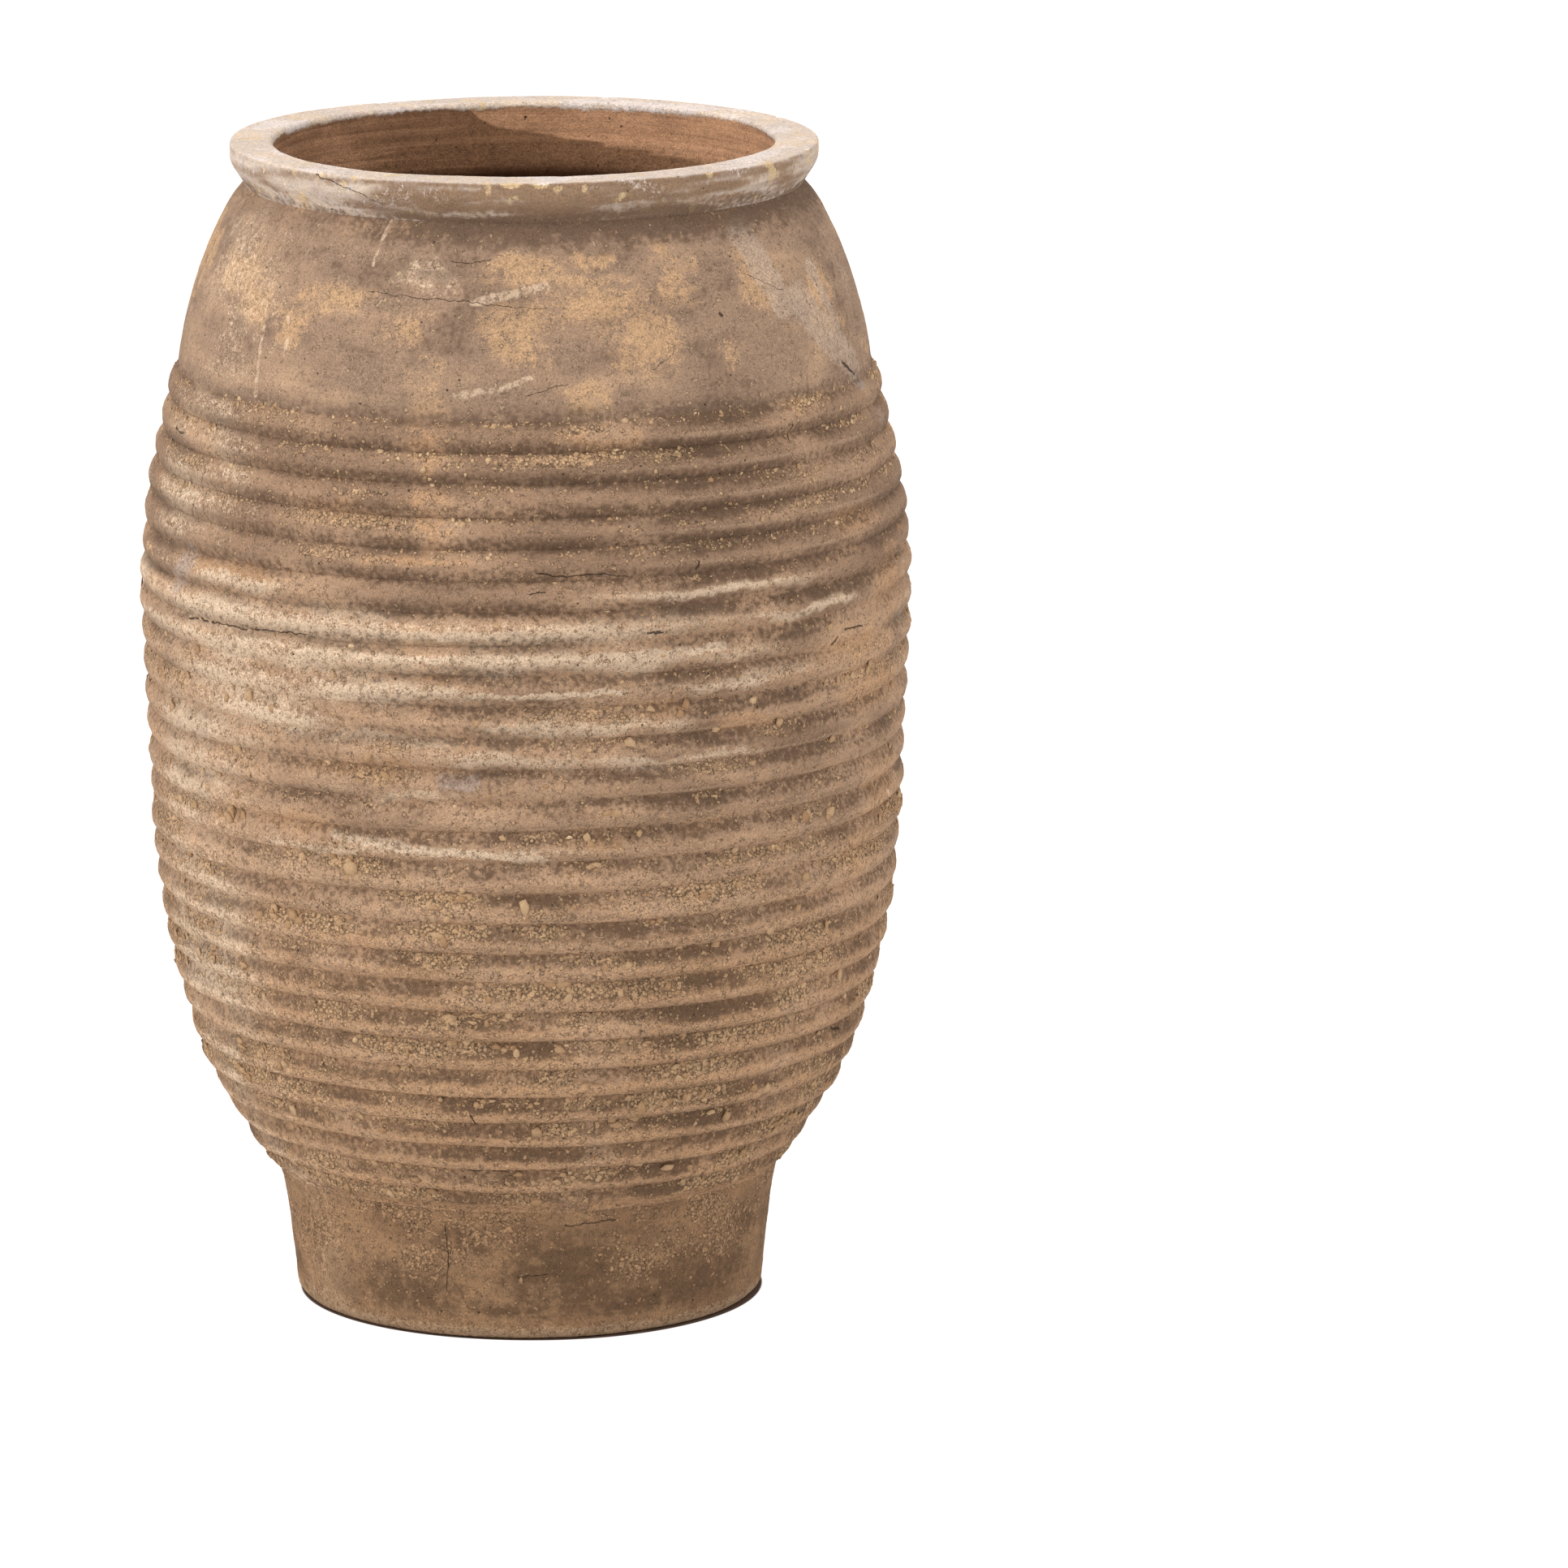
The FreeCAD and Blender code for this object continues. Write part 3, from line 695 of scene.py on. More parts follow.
def make_coil(number, node):
    even_steps = np.linspace(0, 1, COIL_ROWS)
    share_steps = 0.45 * (0.5 - 0.5 * np.cos(np.pi * even_steps)) + 0.55 * even_steps
    turn = grid(COIL_ROWS)
    share = each_row(turn, share_steps)
    chord_radius, chord_rise, lobe_out, lobe_up = coil_shape(turn, number, share)
    radius, rise, shares = outer_surface(turn, chord_radius, chord_rise, number + share)
    outer = place(turn, radius + lobe_out, rise + lobe_up)
    inner_turn = grid(COIL_INNER_ROWS)
    inner_share = each_row(inner_turn, np.linspace(1, 0, COIL_INNER_ROWS))
    radius_change = joint_radii[number + 1] - joint_radii[number]
    height_change = joint_heights[number + 1] - joint_heights[number]
    inner_radius = joint_radii[number] + radius_change * inner_share - WALL
    inner_rise = joint_heights[number] + height_change * inner_share
    return make_ring(node, "coil_clay", outer, shares, inner_turn, inner_radius, inner_rise)


def make_wall(node, slot, spacing, softness):
    """A smoothed wall piece between two level joints."""
    heights, radii = levels(node)
    radii, heights = resample(radii, heights, spacing)
    radii = softened(radii, softness)
    turn = grid(len(heights))
    rise = each_row(turn, heights)
    radius, settled_rise, shares = outer_surface(turn, each_row(turn, radii), rise, course_of(rise))
    outer = place(turn, radius, settled_rise)
    inner_heights, inner_radii = levels(node, outer=False)
    inner_radii, inner_heights = resample(inner_radii[::-1], inner_heights[::-1], INNER_SPACING)
    upright_radii = MOUTH_RADIUS + INNER_FLARE * np.maximum(UPRIGHT_LOW - inner_heights, 0)
    inner_turn = grid(len(inner_heights))
    inner_radius = each_row(inner_turn, np.minimum(inner_radii, upright_radii))
    inner_rise = each_row(inner_turn, inner_heights)
    return make_ring(node, slot, outer, shares, inner_turn, inner_radius, inner_rise)


# Rim: its torn inner lip, its chips and its band
LIP_DEPTH = 5.5 * MM
LIP_RAG = 2.6 * MM
LIP_STEP = 1.0 * MM
RIM_WAVE = 0.9 * MM
RIM_GRAIN = 0.12 * MM
CHIP_DEPTH = 1.6 * MM
CHIP_REACH = 7 * MM
CHIP_RAG_ANGLE = 0.5
END_ROWS = 6

# Chips of the rim, as angle and half angle in degrees
RIM_CHIPS = [
    (3.0, 2.2), (-2.6, 2.4), (38, 1.0), (-35, 0.9), (74, 1.2), (118, 1.5), (-97, 1.4), (163, 1.2),
    (-150, 1.8),
]
BAND_ANGLES = [-180, -80, -45, -10, 10, 40, 80, 180]
BAND_STRENGTHS = [0.35, 0.28, 0.3, 0.92, 0.96, 0.72, 0.45, 0.35]


def make_rim():
    heights, radii = levels("rim_ring")
    inner_heights, inner_radii = levels("rim_ring", outer=False)
    top = inner_heights[-1]
    loop_radii = np.concatenate([radii, inner_radii[::-1]])
    loop_heights = np.concatenate([heights, inner_heights[::-1]])
    loop_radii, loop_heights = resample(loop_radii, loop_heights, RIM_SPACING)
    rows = len(loop_radii)
    row = np.arange(rows)
    turn = grid(rows)
    radius = each_row(turn, loop_radii)
    rise = each_row(turn, loop_heights)
    along = each_row(turn, row * RIM_SPACING)
    angle = angle_of(turn)
    depth = top - rise
    run_radius = np.gradient(loop_radii)
    run_height = np.gradient(loop_heights)
    run = np.hypot(run_radius, run_height)
    normal_radius = softened(run_height / run, 2)[:, None]
    normal_height = softened(-run_radius / run, 2)[:, None]
    from_ends = ease(0, END_ROWS, np.minimum(row, rows - 1 - row))[:, None]

    proud = fractal(turn, along, 40 * MM, 101, 3, 2.0) * RIM_WAVE * 0.5
    proud = proud + noise(turn, along, 3.5 * MM, 105, 1.6) * RIM_GRAIN
    inner_wall = (loop_radii < radii[0]) & (loop_heights < top - 1 * MM) & (row > rows / 2)
    level = np.zeros_like(turn)
    lip = LIP_DEPTH + LIP_RAG * fractal(turn, level, 90 * MM, 108, 4, 1.0)
    below_lip = depth - lip - 1.5 * MM * noise(turn, depth, 7 * MM, 112)
    inside = ease(-1.2 * MM, 1.2 * MM, below_lip) * inner_wall[:, None]
    torn = ease(-0.3, 0.4, noise(turn, level, 150 * MM, 113))
    proud = proud - inside * LIP_STEP * (0.4 + 0.6 * torn)
    chips = np.zeros_like(turn)
    reach = np.hypot(radii.max() - radius, depth) / CHIP_REACH
    ragged = CHIP_RAG_ANGLE * noise(turn, along, 5 * MM, 115)
    for chip_angle, half_angle in RIM_CHIPS:
        across = (angle - chip_angle + ragged) / half_angle
        chips = np.maximum(chips, 1 - ease(0.6, 1.0, np.hypot(across, reach)))
    proud = proud - chips * CHIP_DEPTH
    settled_radius, settled_rise = settle(turn, radius, rise)
    settled_radius = settled_radius + proud * normal_radius * from_ends
    settled_rise = settled_rise + proud * normal_height * from_ends
    points = place(turn, settled_radius, settled_rise)

    outer_side = radius > radii[0] - 1 * MM
    # Painted shade along the lower edge of the rim band, where it turns under, with streaky grime
    under_shade_and_grime = ease(0, 1, 1 - (rise - heights[0]) / (22 * MM)) * outer_side
    mottle = fractal(turn, along, 45 * MM, 121, 3, 2.5)
    streaks = fractal(turn, along, 9 * MM, 131, 3, 9.0)
    patches = ease(0.45, 0.8, fractal(turn, along, 30 * MM, 125, 3))
    band = ease(-0.5 * MM, 2.5 * MM, depth) * outer_side
    band_strength = np.interp(angle, BAND_ANGLES, BAND_STRENGTHS)
    band_stain = band * np.clip(band_strength + 0.35 * streaks + 0.3 * mottle, 0, 1)
    top_stain = (1 - band) * np.clip(0.1 + 0.4 * mottle, 0, 0.5)
    shares = {name: np.zeros_like(turn) for name in TONE_NAMES}
    shares["ochre"] = np.maximum(chips, 0.8 * patches)
    shares["pale"] = ease(-0.2, 0.8, mottle) * (1 - 0.7 * band)
    shares["stain"] = np.clip(band_stain + top_stain, 0, 1)
    shares["grime_and_shade"] = np.clip(under_shade_and_grime * (0.35 + 0.5 * band_strength + 0.3 * streaks), 0, 1)
    shares["inside"] = inside
    shares["lit_inside_and_tide"] = lit_inside_and_tide(turn, rise)
    return make_piece("rim_ring", "rim_clay", points, shares, (0, rows - 1))


# Rows of the floor slab below and above its edge, and how near the axis they come
UNDER_ROWS = 14
FLOOR_ROWS = 30
POLE_RADIUS = 20 * MM


def make_disc():
    """The floor slab, with the foot's rounded lower edge."""
    heights, radii = levels("base_disc")
    edge_radii, edge_heights = resample(radii, heights, DISC_SPACING)
    under_radii = np.linspace(POLE_RADIUS, edge_radii[0], UNDER_ROWS)[:-1]
    floor_radii = np.linspace(edge_radii[-1], POLE_RADIUS, FLOOR_ROWS)[1:]
    under_heights = np.full(len(under_radii), edge_heights[0])
    floor_heights = np.full(len(floor_radii), edge_heights[-1])
    radii = np.concatenate([under_radii, edge_radii, floor_radii])
    turn = grid(len(radii))
    radius = each_row(turn, radii)
    rise = each_row(turn, np.concatenate([under_heights, edge_heights, floor_heights]))
    wavy_radius, wavy_rise, shares = outer_surface(turn, radius, rise, course_of(rise))
    row = each_row(turn, np.arange(len(radii)))
    on_floor = row >= len(under_radii) + len(edge_radii)
    flat = on_floor | (row < len(under_radii))
    points = place(turn, np.where(flat, radius, wavy_radius), np.where(flat, rise, wavy_rise))
    shares["inside"] = np.where(on_floor, 1.0, 0.0)
    shares["lit_inside_and_tide"] = np.zeros_like(turn)
    return make_piece("base_disc", "foot_clay", points, shares, closed=False)


def make_corner_coil():
    """The soft coil wiped into the corner between floor and wall."""
    node = "inner_corner_coil"
    corner_radii, corner_heights = node_points(node)
    hollow_heights, hollow_radii = levels(node, outer=False)
    outer_heights, outer_radii = levels(node)
    loop_radii = np.concatenate([outer_radii, hollow_radii[::-1]])
    loop_heights = np.concatenate([outer_heights, hollow_heights[::-1]])
    turn = grid(len(loop_radii))
    radius = each_row(turn, loop_radii)
    rise = each_row(turn, loop_heights)
    free = radius < corner_radii.max() - 4 * MM
    free = free & (rise > corner_heights.min() + 2 * MM) & (rise < corner_heights.max() - 2 * MM)
    wiped = fractal(turn, rise, 50 * MM, 141, 2, 2) * 0.6 * MM * free
    shares = {name: np.zeros_like(turn) for name in TONE_NAMES}
    shares["inside"] = np.ones_like(turn)
    return make_piece(node, "foot_clay", place(turn, radius + wiped, rise), shares)


# Lime crumbs that lie on the coils, and the heights in millimetres between which they begin or end
CRUMB_TRIES = 150000
CRUMB_COUNT = 9500
SIZE_POWER = 3.5
FLATTEN_SHARES = {False: 0.6, True: 0.76}
FINE_BEGINS = (640, 760)
FINE_TOP_BEGINS = (740, 790)
FINE_PEAK_BEGINS = (850, 880)
COARSE_MIDDLE_ENDS = (630, 700)
GOLDEN = (1 + math.sqrt(5)) / 2
ICO_CORNERS = [
    (-1, GOLDEN, 0), (1, GOLDEN, 0), (-1, -GOLDEN, 0), (1, -GOLDEN, 0), (0, -1, GOLDEN), (0, 1, GOLDEN),
    (0, -1, -GOLDEN), (0, 1, -GOLDEN), (GOLDEN, 0, -1), (GOLDEN, 0, 1), (-GOLDEN, 0, -1), (-GOLDEN, 0, 1),
]
ICO_FACES = [
    (0, 11, 5), (0, 5, 1), (0, 1, 7), (0, 7, 10), (0, 10, 11), (1, 5, 9), (5, 11, 4), (11, 10, 2),
    (10, 7, 6), (7, 1, 8), (3, 9, 4), (3, 4, 2), (3, 2, 6), (3, 6, 8), (3, 8, 9), (4, 9, 5), (2, 4, 11),
    (6, 2, 10), (8, 6, 7), (9, 8, 1),
]


def coil_surface(turn, course):
    """Points on the finished outer surface of the coils, and the outward direction of the mean wall."""
    number = np.clip(np.floor(course).astype(int), 0, COIL_COUNT - 1)
    share = course - number
    radius = np.zeros_like(turn)
    rise = np.zeros_like(turn)
    toward = np.zeros_like(turn)
    upward = np.zeros_like(turn)
    for coil in range(COIL_COUNT):
        on_coil = number == coil
        if not on_coil.any():
            continue
        here = turn[on_coil]
        chord_radius, chord_rise, lobe_out, lobe_up = coil_shape(here, coil, share[on_coil])
        crust_share = crust(here, chord_rise, course[on_coil])
        proud = hand_relief(here, chord_rise, course[on_coil], crust_share)
        radial, upright = outward(chord_rise)
        settled_radius, settled_rise = settle(here, chord_radius, chord_rise)
        radius[on_coil] = settled_radius + lobe_out + proud * radial
        rise[on_coil] = settled_rise + lobe_up + proud * upright
        toward[on_coil] = radial
        upward[on_coil] = upright
    return place(turn, radius, rise), place(turn, toward, upward)


def crumb_chance(turn, course):
    """How likely a crumb sits at a place, for the fine crumbs and for the coarse ones."""
    share = course % 1
    rise = np.interp(course, np.arange(COIL_COUNT + 1), joint_heights)
    height = rise / MM
    clusters = fractal(turn, rise, 42 * MM, 151, 3, 2.2)
    upper_side = ease(0.66, 0.86, share)
    top_zone = 0.3 + 0.7 * ease(*FINE_TOP_BEGINS, height) + 1.1 * ease(*FINE_PEAK_BEGINS, height)
    fine_chance = top_zone * np.maximum(upper_side, 0.03) * ease(-0.3, 0.6, clusters)
    fine_chance = 0.8 * fine_chance * (0.3 + 0.7 * ease(*FINE_BEGINS, height))
    above_coarse = ease(*COARSE_ENDS, height)
    low_zone = (1 - above_coarse) + 0.4 * above_coarse * (1 - ease(*COARSE_MIDDLE_ENDS, height))
    wide_side = np.maximum(ease(0.4, 0.62, share), 0.05)
    crust_clusters = fractal(turn, rise, 55 * MM, 71, 2, 2.0)
    low_clusters = 0.6 * crust_clusters + 0.6 * clusters + fractal(turn, rise, 16 * MM, 155, 2)
    coarse_chance = 0.62 * low_zone * wide_side * ease(0.1, 1.0, low_clusters)
    return fine_chance, coarse_chance


def make_crumbs(name, seed, coarse, small, large):
    """Flattened lumps of lime on the coils, of sizes from small to large."""
    random = np.random.default_rng(seed)
    turn = random.uniform(0, FULL_TURN, CRUMB_TRIES)
    course = random.uniform(0, COIL_COUNT, CRUMB_TRIES)
    chance = crumb_chance(turn, course)[1 if coarse else 0]
    picked = random.uniform(0, 1, CRUMB_TRIES) < chance
    chosen = np.nonzero(picked)[0][:CRUMB_COUNT]
    centres, directions = coil_surface(turn[chosen], course[chosen])
    count = len(chosen)
    corners = np.array(ICO_CORNERS) / math.sqrt(1 + GOLDEN**2)
    corner_count = len(ICO_CORNERS)
    size = small + (large - small) * random.uniform(0, 1, count) ** SIZE_POWER
    corner_reach = random.uniform(0.45, 1.55, (count, corner_count, 1))
    shapes = corners[None] * corner_reach * random.uniform(0.5, 1.4, (count, 1, 3))
    depth = (shapes * directions[:, None]).sum(axis=2, keepdims=True)
    shapes = shapes - FLATTEN_SHARES[coarse] * depth * directions[:, None]
    points = centres[:, None] + shapes * size[:, None, None]
    faces = np.arange(count)[:, None, None] * corner_count + np.array(ICO_FACES)[None]
    sizes = np.full(faces.shape[0] * faces.shape[1], 3)
    mesh = build_mesh(name, points.reshape(-1, 3), faces.ravel(), sizes)
    paleness = random.uniform(0, 0.55 if coarse else 1, count)
    add_values(mesh, "tint", np.repeat(paleness, corner_count))
    piece = add_object(name, mesh)
    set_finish(piece, "coil_clay")
    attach(piece, "root")
    return piece


def colour(red, green, blue):
    """An sRGB colour of 0 to 255 as linear light."""
    linear = [((value / 255 + 0.055) / 1.055) ** 2.4 for value in (red, green, blue)]
    return (*linear, 1.0)


# Cells per metre of each pattern in the clay
BROAD_SCALE = 9
MOTTLE_SCALE = 45
RAGGED_SCALE = 190
GRIT_SCALE = 620
FLAKE_SCALE = 170
SPECK_SCALE = 520
GRANULE_SCALE = 230
PINHOLE_SCALE = 85
BEND_SCALE = 110
CRUMB_SCALE = 900
WIPE_STRETCH = (0.03, 0.03, 1)
LINE_BEND = 7 * MM
CLAY_SPECULAR = 0.2


class Shader:
    """Builds a material's nodes with short calls."""

    def __init__(self, name):
        self.material = bpy.data.materials.new(name)
        self.material.use_nodes = True
        self.tree = self.material.node_tree
        self.tree.nodes.clear()
        output = self.add("OutputMaterial")
        self.surface = self.add("BsdfPrincipled")
        self.tree.links.new(self.surface.outputs["BSDF"], output.inputs["Surface"])
        self.coordinates = self.add("TexCoord").outputs["Object"]

    def add(self, kind):
        return self.tree.nodes.new("ShaderNode" + kind)

    def feed(self, socket, value):
        if isinstance(value, bpy.types.NodeSocket):
            self.tree.links.new(value, socket)
        else:
            socket.default_value = value

    def math(self, operation, first, second=0.0, clamp=False):
        node = self.add("Math")
        node.operation = operation
        node.use_clamp = clamp
        self.feed(node.inputs[0], first)
        self.feed(node.inputs[1], second)
        return node.outputs[0]

    def plus(self, first, second):
        return self.math("ADD", first, second)

    def minus(self, first, second):
        return self.math("SUBTRACT", first, second)

    def times(self, first, second, clamp=False):
        return self.math("MULTIPLY", first, second, clamp)

    def vector(self, operation, first, second=(0, 0, 0), output=0):
        node = self.add("VectorMath")
        node.operation = operation
        self.feed(node.inputs[0], first)
        self.feed(node.inputs[1], second)
        return node.outputs[output]

    def mix(self, share, first, second, blend="MIX"):
        node = self.add("Mix")
        node.data_type = "RGBA"
        node.blend_type = blend
        self.feed(node.inputs[0], share)
        self.feed(node.inputs[6], first)
        self.feed(node.inputs[7], second)
        return node.outputs[2]

    def share(self, value, low, high, result_low=0.0, result_high=1.0):
        """Eases from one result at low to the other at high; low may be the larger."""
        node = self.add("MapRange")
        node.interpolation_type = "SMOOTHSTEP"
        self.feed(node.inputs["Value"], value)
        ends = {"From Min": low, "From Max": high, "To Min": result_low, "To Max": result_high}
        for key, number in ends.items():
            node.inputs[key].default_value = number
        return node.outputs[0]

    def noise(self, scale, detail=2.0, roughness=0.5, stretch=(1, 1, 1), output=0):
        node = self.add("TexNoise")
        node.inputs["Scale"].default_value = scale
        node.inputs["Detail"].default_value = detail
        node.inputs["Roughness"].default_value = roughness
        self.feed(node.inputs["Vector"], self.vector("MULTIPLY", self.coordinates, stretch))
        return node.outputs[output]

    def cells(self, scale):
        node = self.add("TexVoronoi")
        node.inputs["Scale"].default_value = scale
        self.feed(node.inputs["Vector"], self.coordinates)
        return node.outputs["Distance"], node.outputs["Color"]

    def attribute(self, name):
        node = self.add("Attribute")
        node.attribute_name = name
        return node.outputs["Fac"]

    def rolled_out(self):
        """The surface rolled out flat, as turn length and height, with small bends."""
        split = self.add("SeparateXYZ")
        self.feed(split.inputs[0], self.coordinates)
        turn = self.math("ARCTAN2", split.outputs[0], self.times(split.outputs[1], -1.0))
        flat = self.add("CombineXYZ")
        self.feed(flat.inputs[0], self.times(turn, MEAN_RADIUS))
        self.feed(flat.inputs[1], split.outputs[2])
        offset = self.vector("SUBTRACT", self.noise(BEND_SCALE, 3, output=1), (0.5, 0.5, 0.5))
        offset = self.vector("MULTIPLY", offset, (LINE_BEND, LINE_BEND, 0))
        return self.vector("ADD", flat.outputs[0], offset)

    def lines(self, flat, segments):
        """Share of thin lines between places given as angle in degrees and height in millimetres."""
        total = 0.0
        for start, end, half_width in segments:
            first = Vector((start[0] * DEGREE * MEAN_RADIUS, start[1] * MM, 0))
            along = Vector((end[0] * DEGREE * MEAN_RADIUS, end[1] * MM, 0)) - first
            offset = self.vector("SUBTRACT", flat, first)
            reach = self.times(self.vector("DOT_PRODUCT", offset, along / along.length_squared, 1), 1.0, True)
            nearest = self.add("VectorMath")
            nearest.operation = "SCALE"
            self.feed(nearest.inputs[0], along)
            self.feed(nearest.inputs["Scale"], reach)
            distance = self.vector("DISTANCE", offset, nearest.outputs[0], 1)
            total = self.math("MAXIMUM", total, self.share(distance, half_width * MM, 0.5 * half_width * MM))
        return total

    def finish(self, base, roughness, height, bump_share, bump_depth):
        """Gives the surface its colour, its roughness and a bump from a height."""
        self.feed(self.surface.inputs["Base Color"], base)
        self.feed(self.surface.inputs["Roughness"], roughness)
        self.surface.inputs["Specular IOR Level"].default_value = CLAY_SPECULAR
        bump = self.add("Bump")
        bump.inputs["Strength"].default_value = bump_share
        bump.inputs["Distance"].default_value = bump_depth
        self.feed(bump.inputs["Height"], height)
        self.feed(self.surface.inputs["Normal"], bump.outputs[0])
        return self.material


# Cracks and scratches, then chalky marks: start and end as angle and height, and half width in millimetres
DARK_LINES = {
    "coil_clay": [
        ((1.5, 755), (5.7, 752), 0.8), ((5.7, 752), (11.4, 753), 0.6), ((11.4, 753), (15.8, 748), 0.5),
        ((0.5, 735), (2.6, 738), 0.6), ((26, 757), (25.9, 752), 1.2), ((-60, 681), (-55, 683), 1.0),
        ((-54, 683), (-46, 684), 0.7), ((-44, 686), (-34, 688), 0.7), ((18, 697), (20, 696), 1.4),
        ((55, 672), (60, 671), 1.1), ((46, 855), (47, 868), 0.9), ((63, 280), (66, 276), 1.6),
        ((70, 226), (72, 220), 1.8), ((-10, 236), (-9.5, 228), 1.2), ((-72, 846), (-68, 844), 0.9),
        ((52, 660), (53, 667), 1.0), ((-14, 176), (-5, 175), 0.8),
    ],
    "shoulder_clay": [
        ((-13.9, 1028), (-10.9, 1027), 0.3), ((-10.9, 1027), (-6.2, 1031), 0.3),
        ((-28.6, 998), (-12.5, 995), 0.3), ((-12.5, 995), (-1, 990), 0.3), ((-1, 990), (3.9, 988), 0.3),
        ((0, 912), (6.8, 922), 0.32), ((-10.8, 879), (-5.9, 891), 0.3), ((21.4, 932), (24, 939), 0.32),
        ((24, 939), (25, 943), 0.32), ((25, 943), (25.7, 951), 0.32), ((25.7, 951), (24.2, 956), 0.32),
        ((65.8, 910), (70.1, 894), 1.6), ((35.7, 975), (35.9, 974), 2.0), ((-28, 900), (-27.6, 900), 1.0),
        ((44, 1005), (52, 985), 0.32),
    ],
    "rim_clay": [
        ((-44, 1096), (-34, 1086), 0.5), ((-34, 1086), (-29, 1074), 0.4), ((179.6, 1085), (180, 1084), 2.0),
    ],
    "foot_clay": [
        ((-19.8, 111), (-19.7, 71), 0.9), ((-19.7, 71), (-20.4, 46), 0.7), ((8, 113), (20, 116), 0.7),
        ((-3, 62), (4, 66), 0.5),
    ],
}
PALE_LINES = {
    "shoulder_clay": [
        ((-27.7, 1064), (-29, 1021), 2.4), ((-9, 994), (3.7, 1008), 5.0), ((-11.5, 911), (-4, 918), 4.2),
        ((-4, 918), (1.2, 929), 3.2), ((-50.4, 956), (-49.8, 895), 2.6), ((-44, 948), (-44, 936), 3.0),
        ((-45, 968), (-44.6, 964), 3.0),
    ],
    "coil_clay": [((18.3, 696), (18.3, 693), 3.0), ((72, 500), (72.6, 496), 2.2)],
}

HOLE_SHADE = colour(56, 40, 30)
INSIDE_DARK = colour(138, 101, 73)
# The grime colour also paints shade in the grooves and under the rim, and shadow round flakes and granules
PALETTE_NAMES = ("clay", "stain", "ochre", "pale", "smear", "grime_and_shade", "crest", "crust", "inside")
PALETTES = {
    "coil_clay": [
        (188, 154, 125), (146, 117, 94), (186, 145, 108), (218, 192, 164), (176, 156, 144), (88, 67, 51),
        (202, 170, 140), (202, 165, 126), (196, 148, 110),
    ],
    "shoulder_clay": [
        (188, 155, 126), (155, 127, 105), (196, 157, 118), (212, 184, 156), (184, 161, 142), (102, 80, 64),
        (196, 170, 144), (206, 176, 138), (200, 152, 116),
    ],
    "rim_clay": [
        (213, 195, 182), (150, 121, 96), (216, 186, 142), (226, 212, 204), (172, 150, 136), (120, 96, 78),
        (196, 170, 144), (206, 176, 138), (200, 152, 116),
    ],
    "foot_clay": [
        (150, 118, 89), (131, 100, 74), (178, 138, 98), (170, 142, 114), (150, 128, 110), (98, 75, 55),
        (160, 130, 102), (186, 148, 112), (170, 124, 90),
    ],
}

# The stains, painted crest highlights and painted groove shade from the clay outwards, each with its strength
# and how ragged its edge is
STAIN_AND_PAINTED_LIGHT_LAYERS = [
    ("stain", 1.0, 0.7), ("ochre", 0.72, 1.2), ("pale", 0.82, 1.0), ("crest", 0.3, 0.7), ("smear", 0.6, 0.7),
    ("grime_and_shade", 0.85, 1.3),
]

# How much of the flakes and specks each clay shows
WEAR_SHARES = {"coil_clay": 1.0, "shoulder_clay": 0.85, "rim_clay": 0.3, "foot_clay": 1.0}


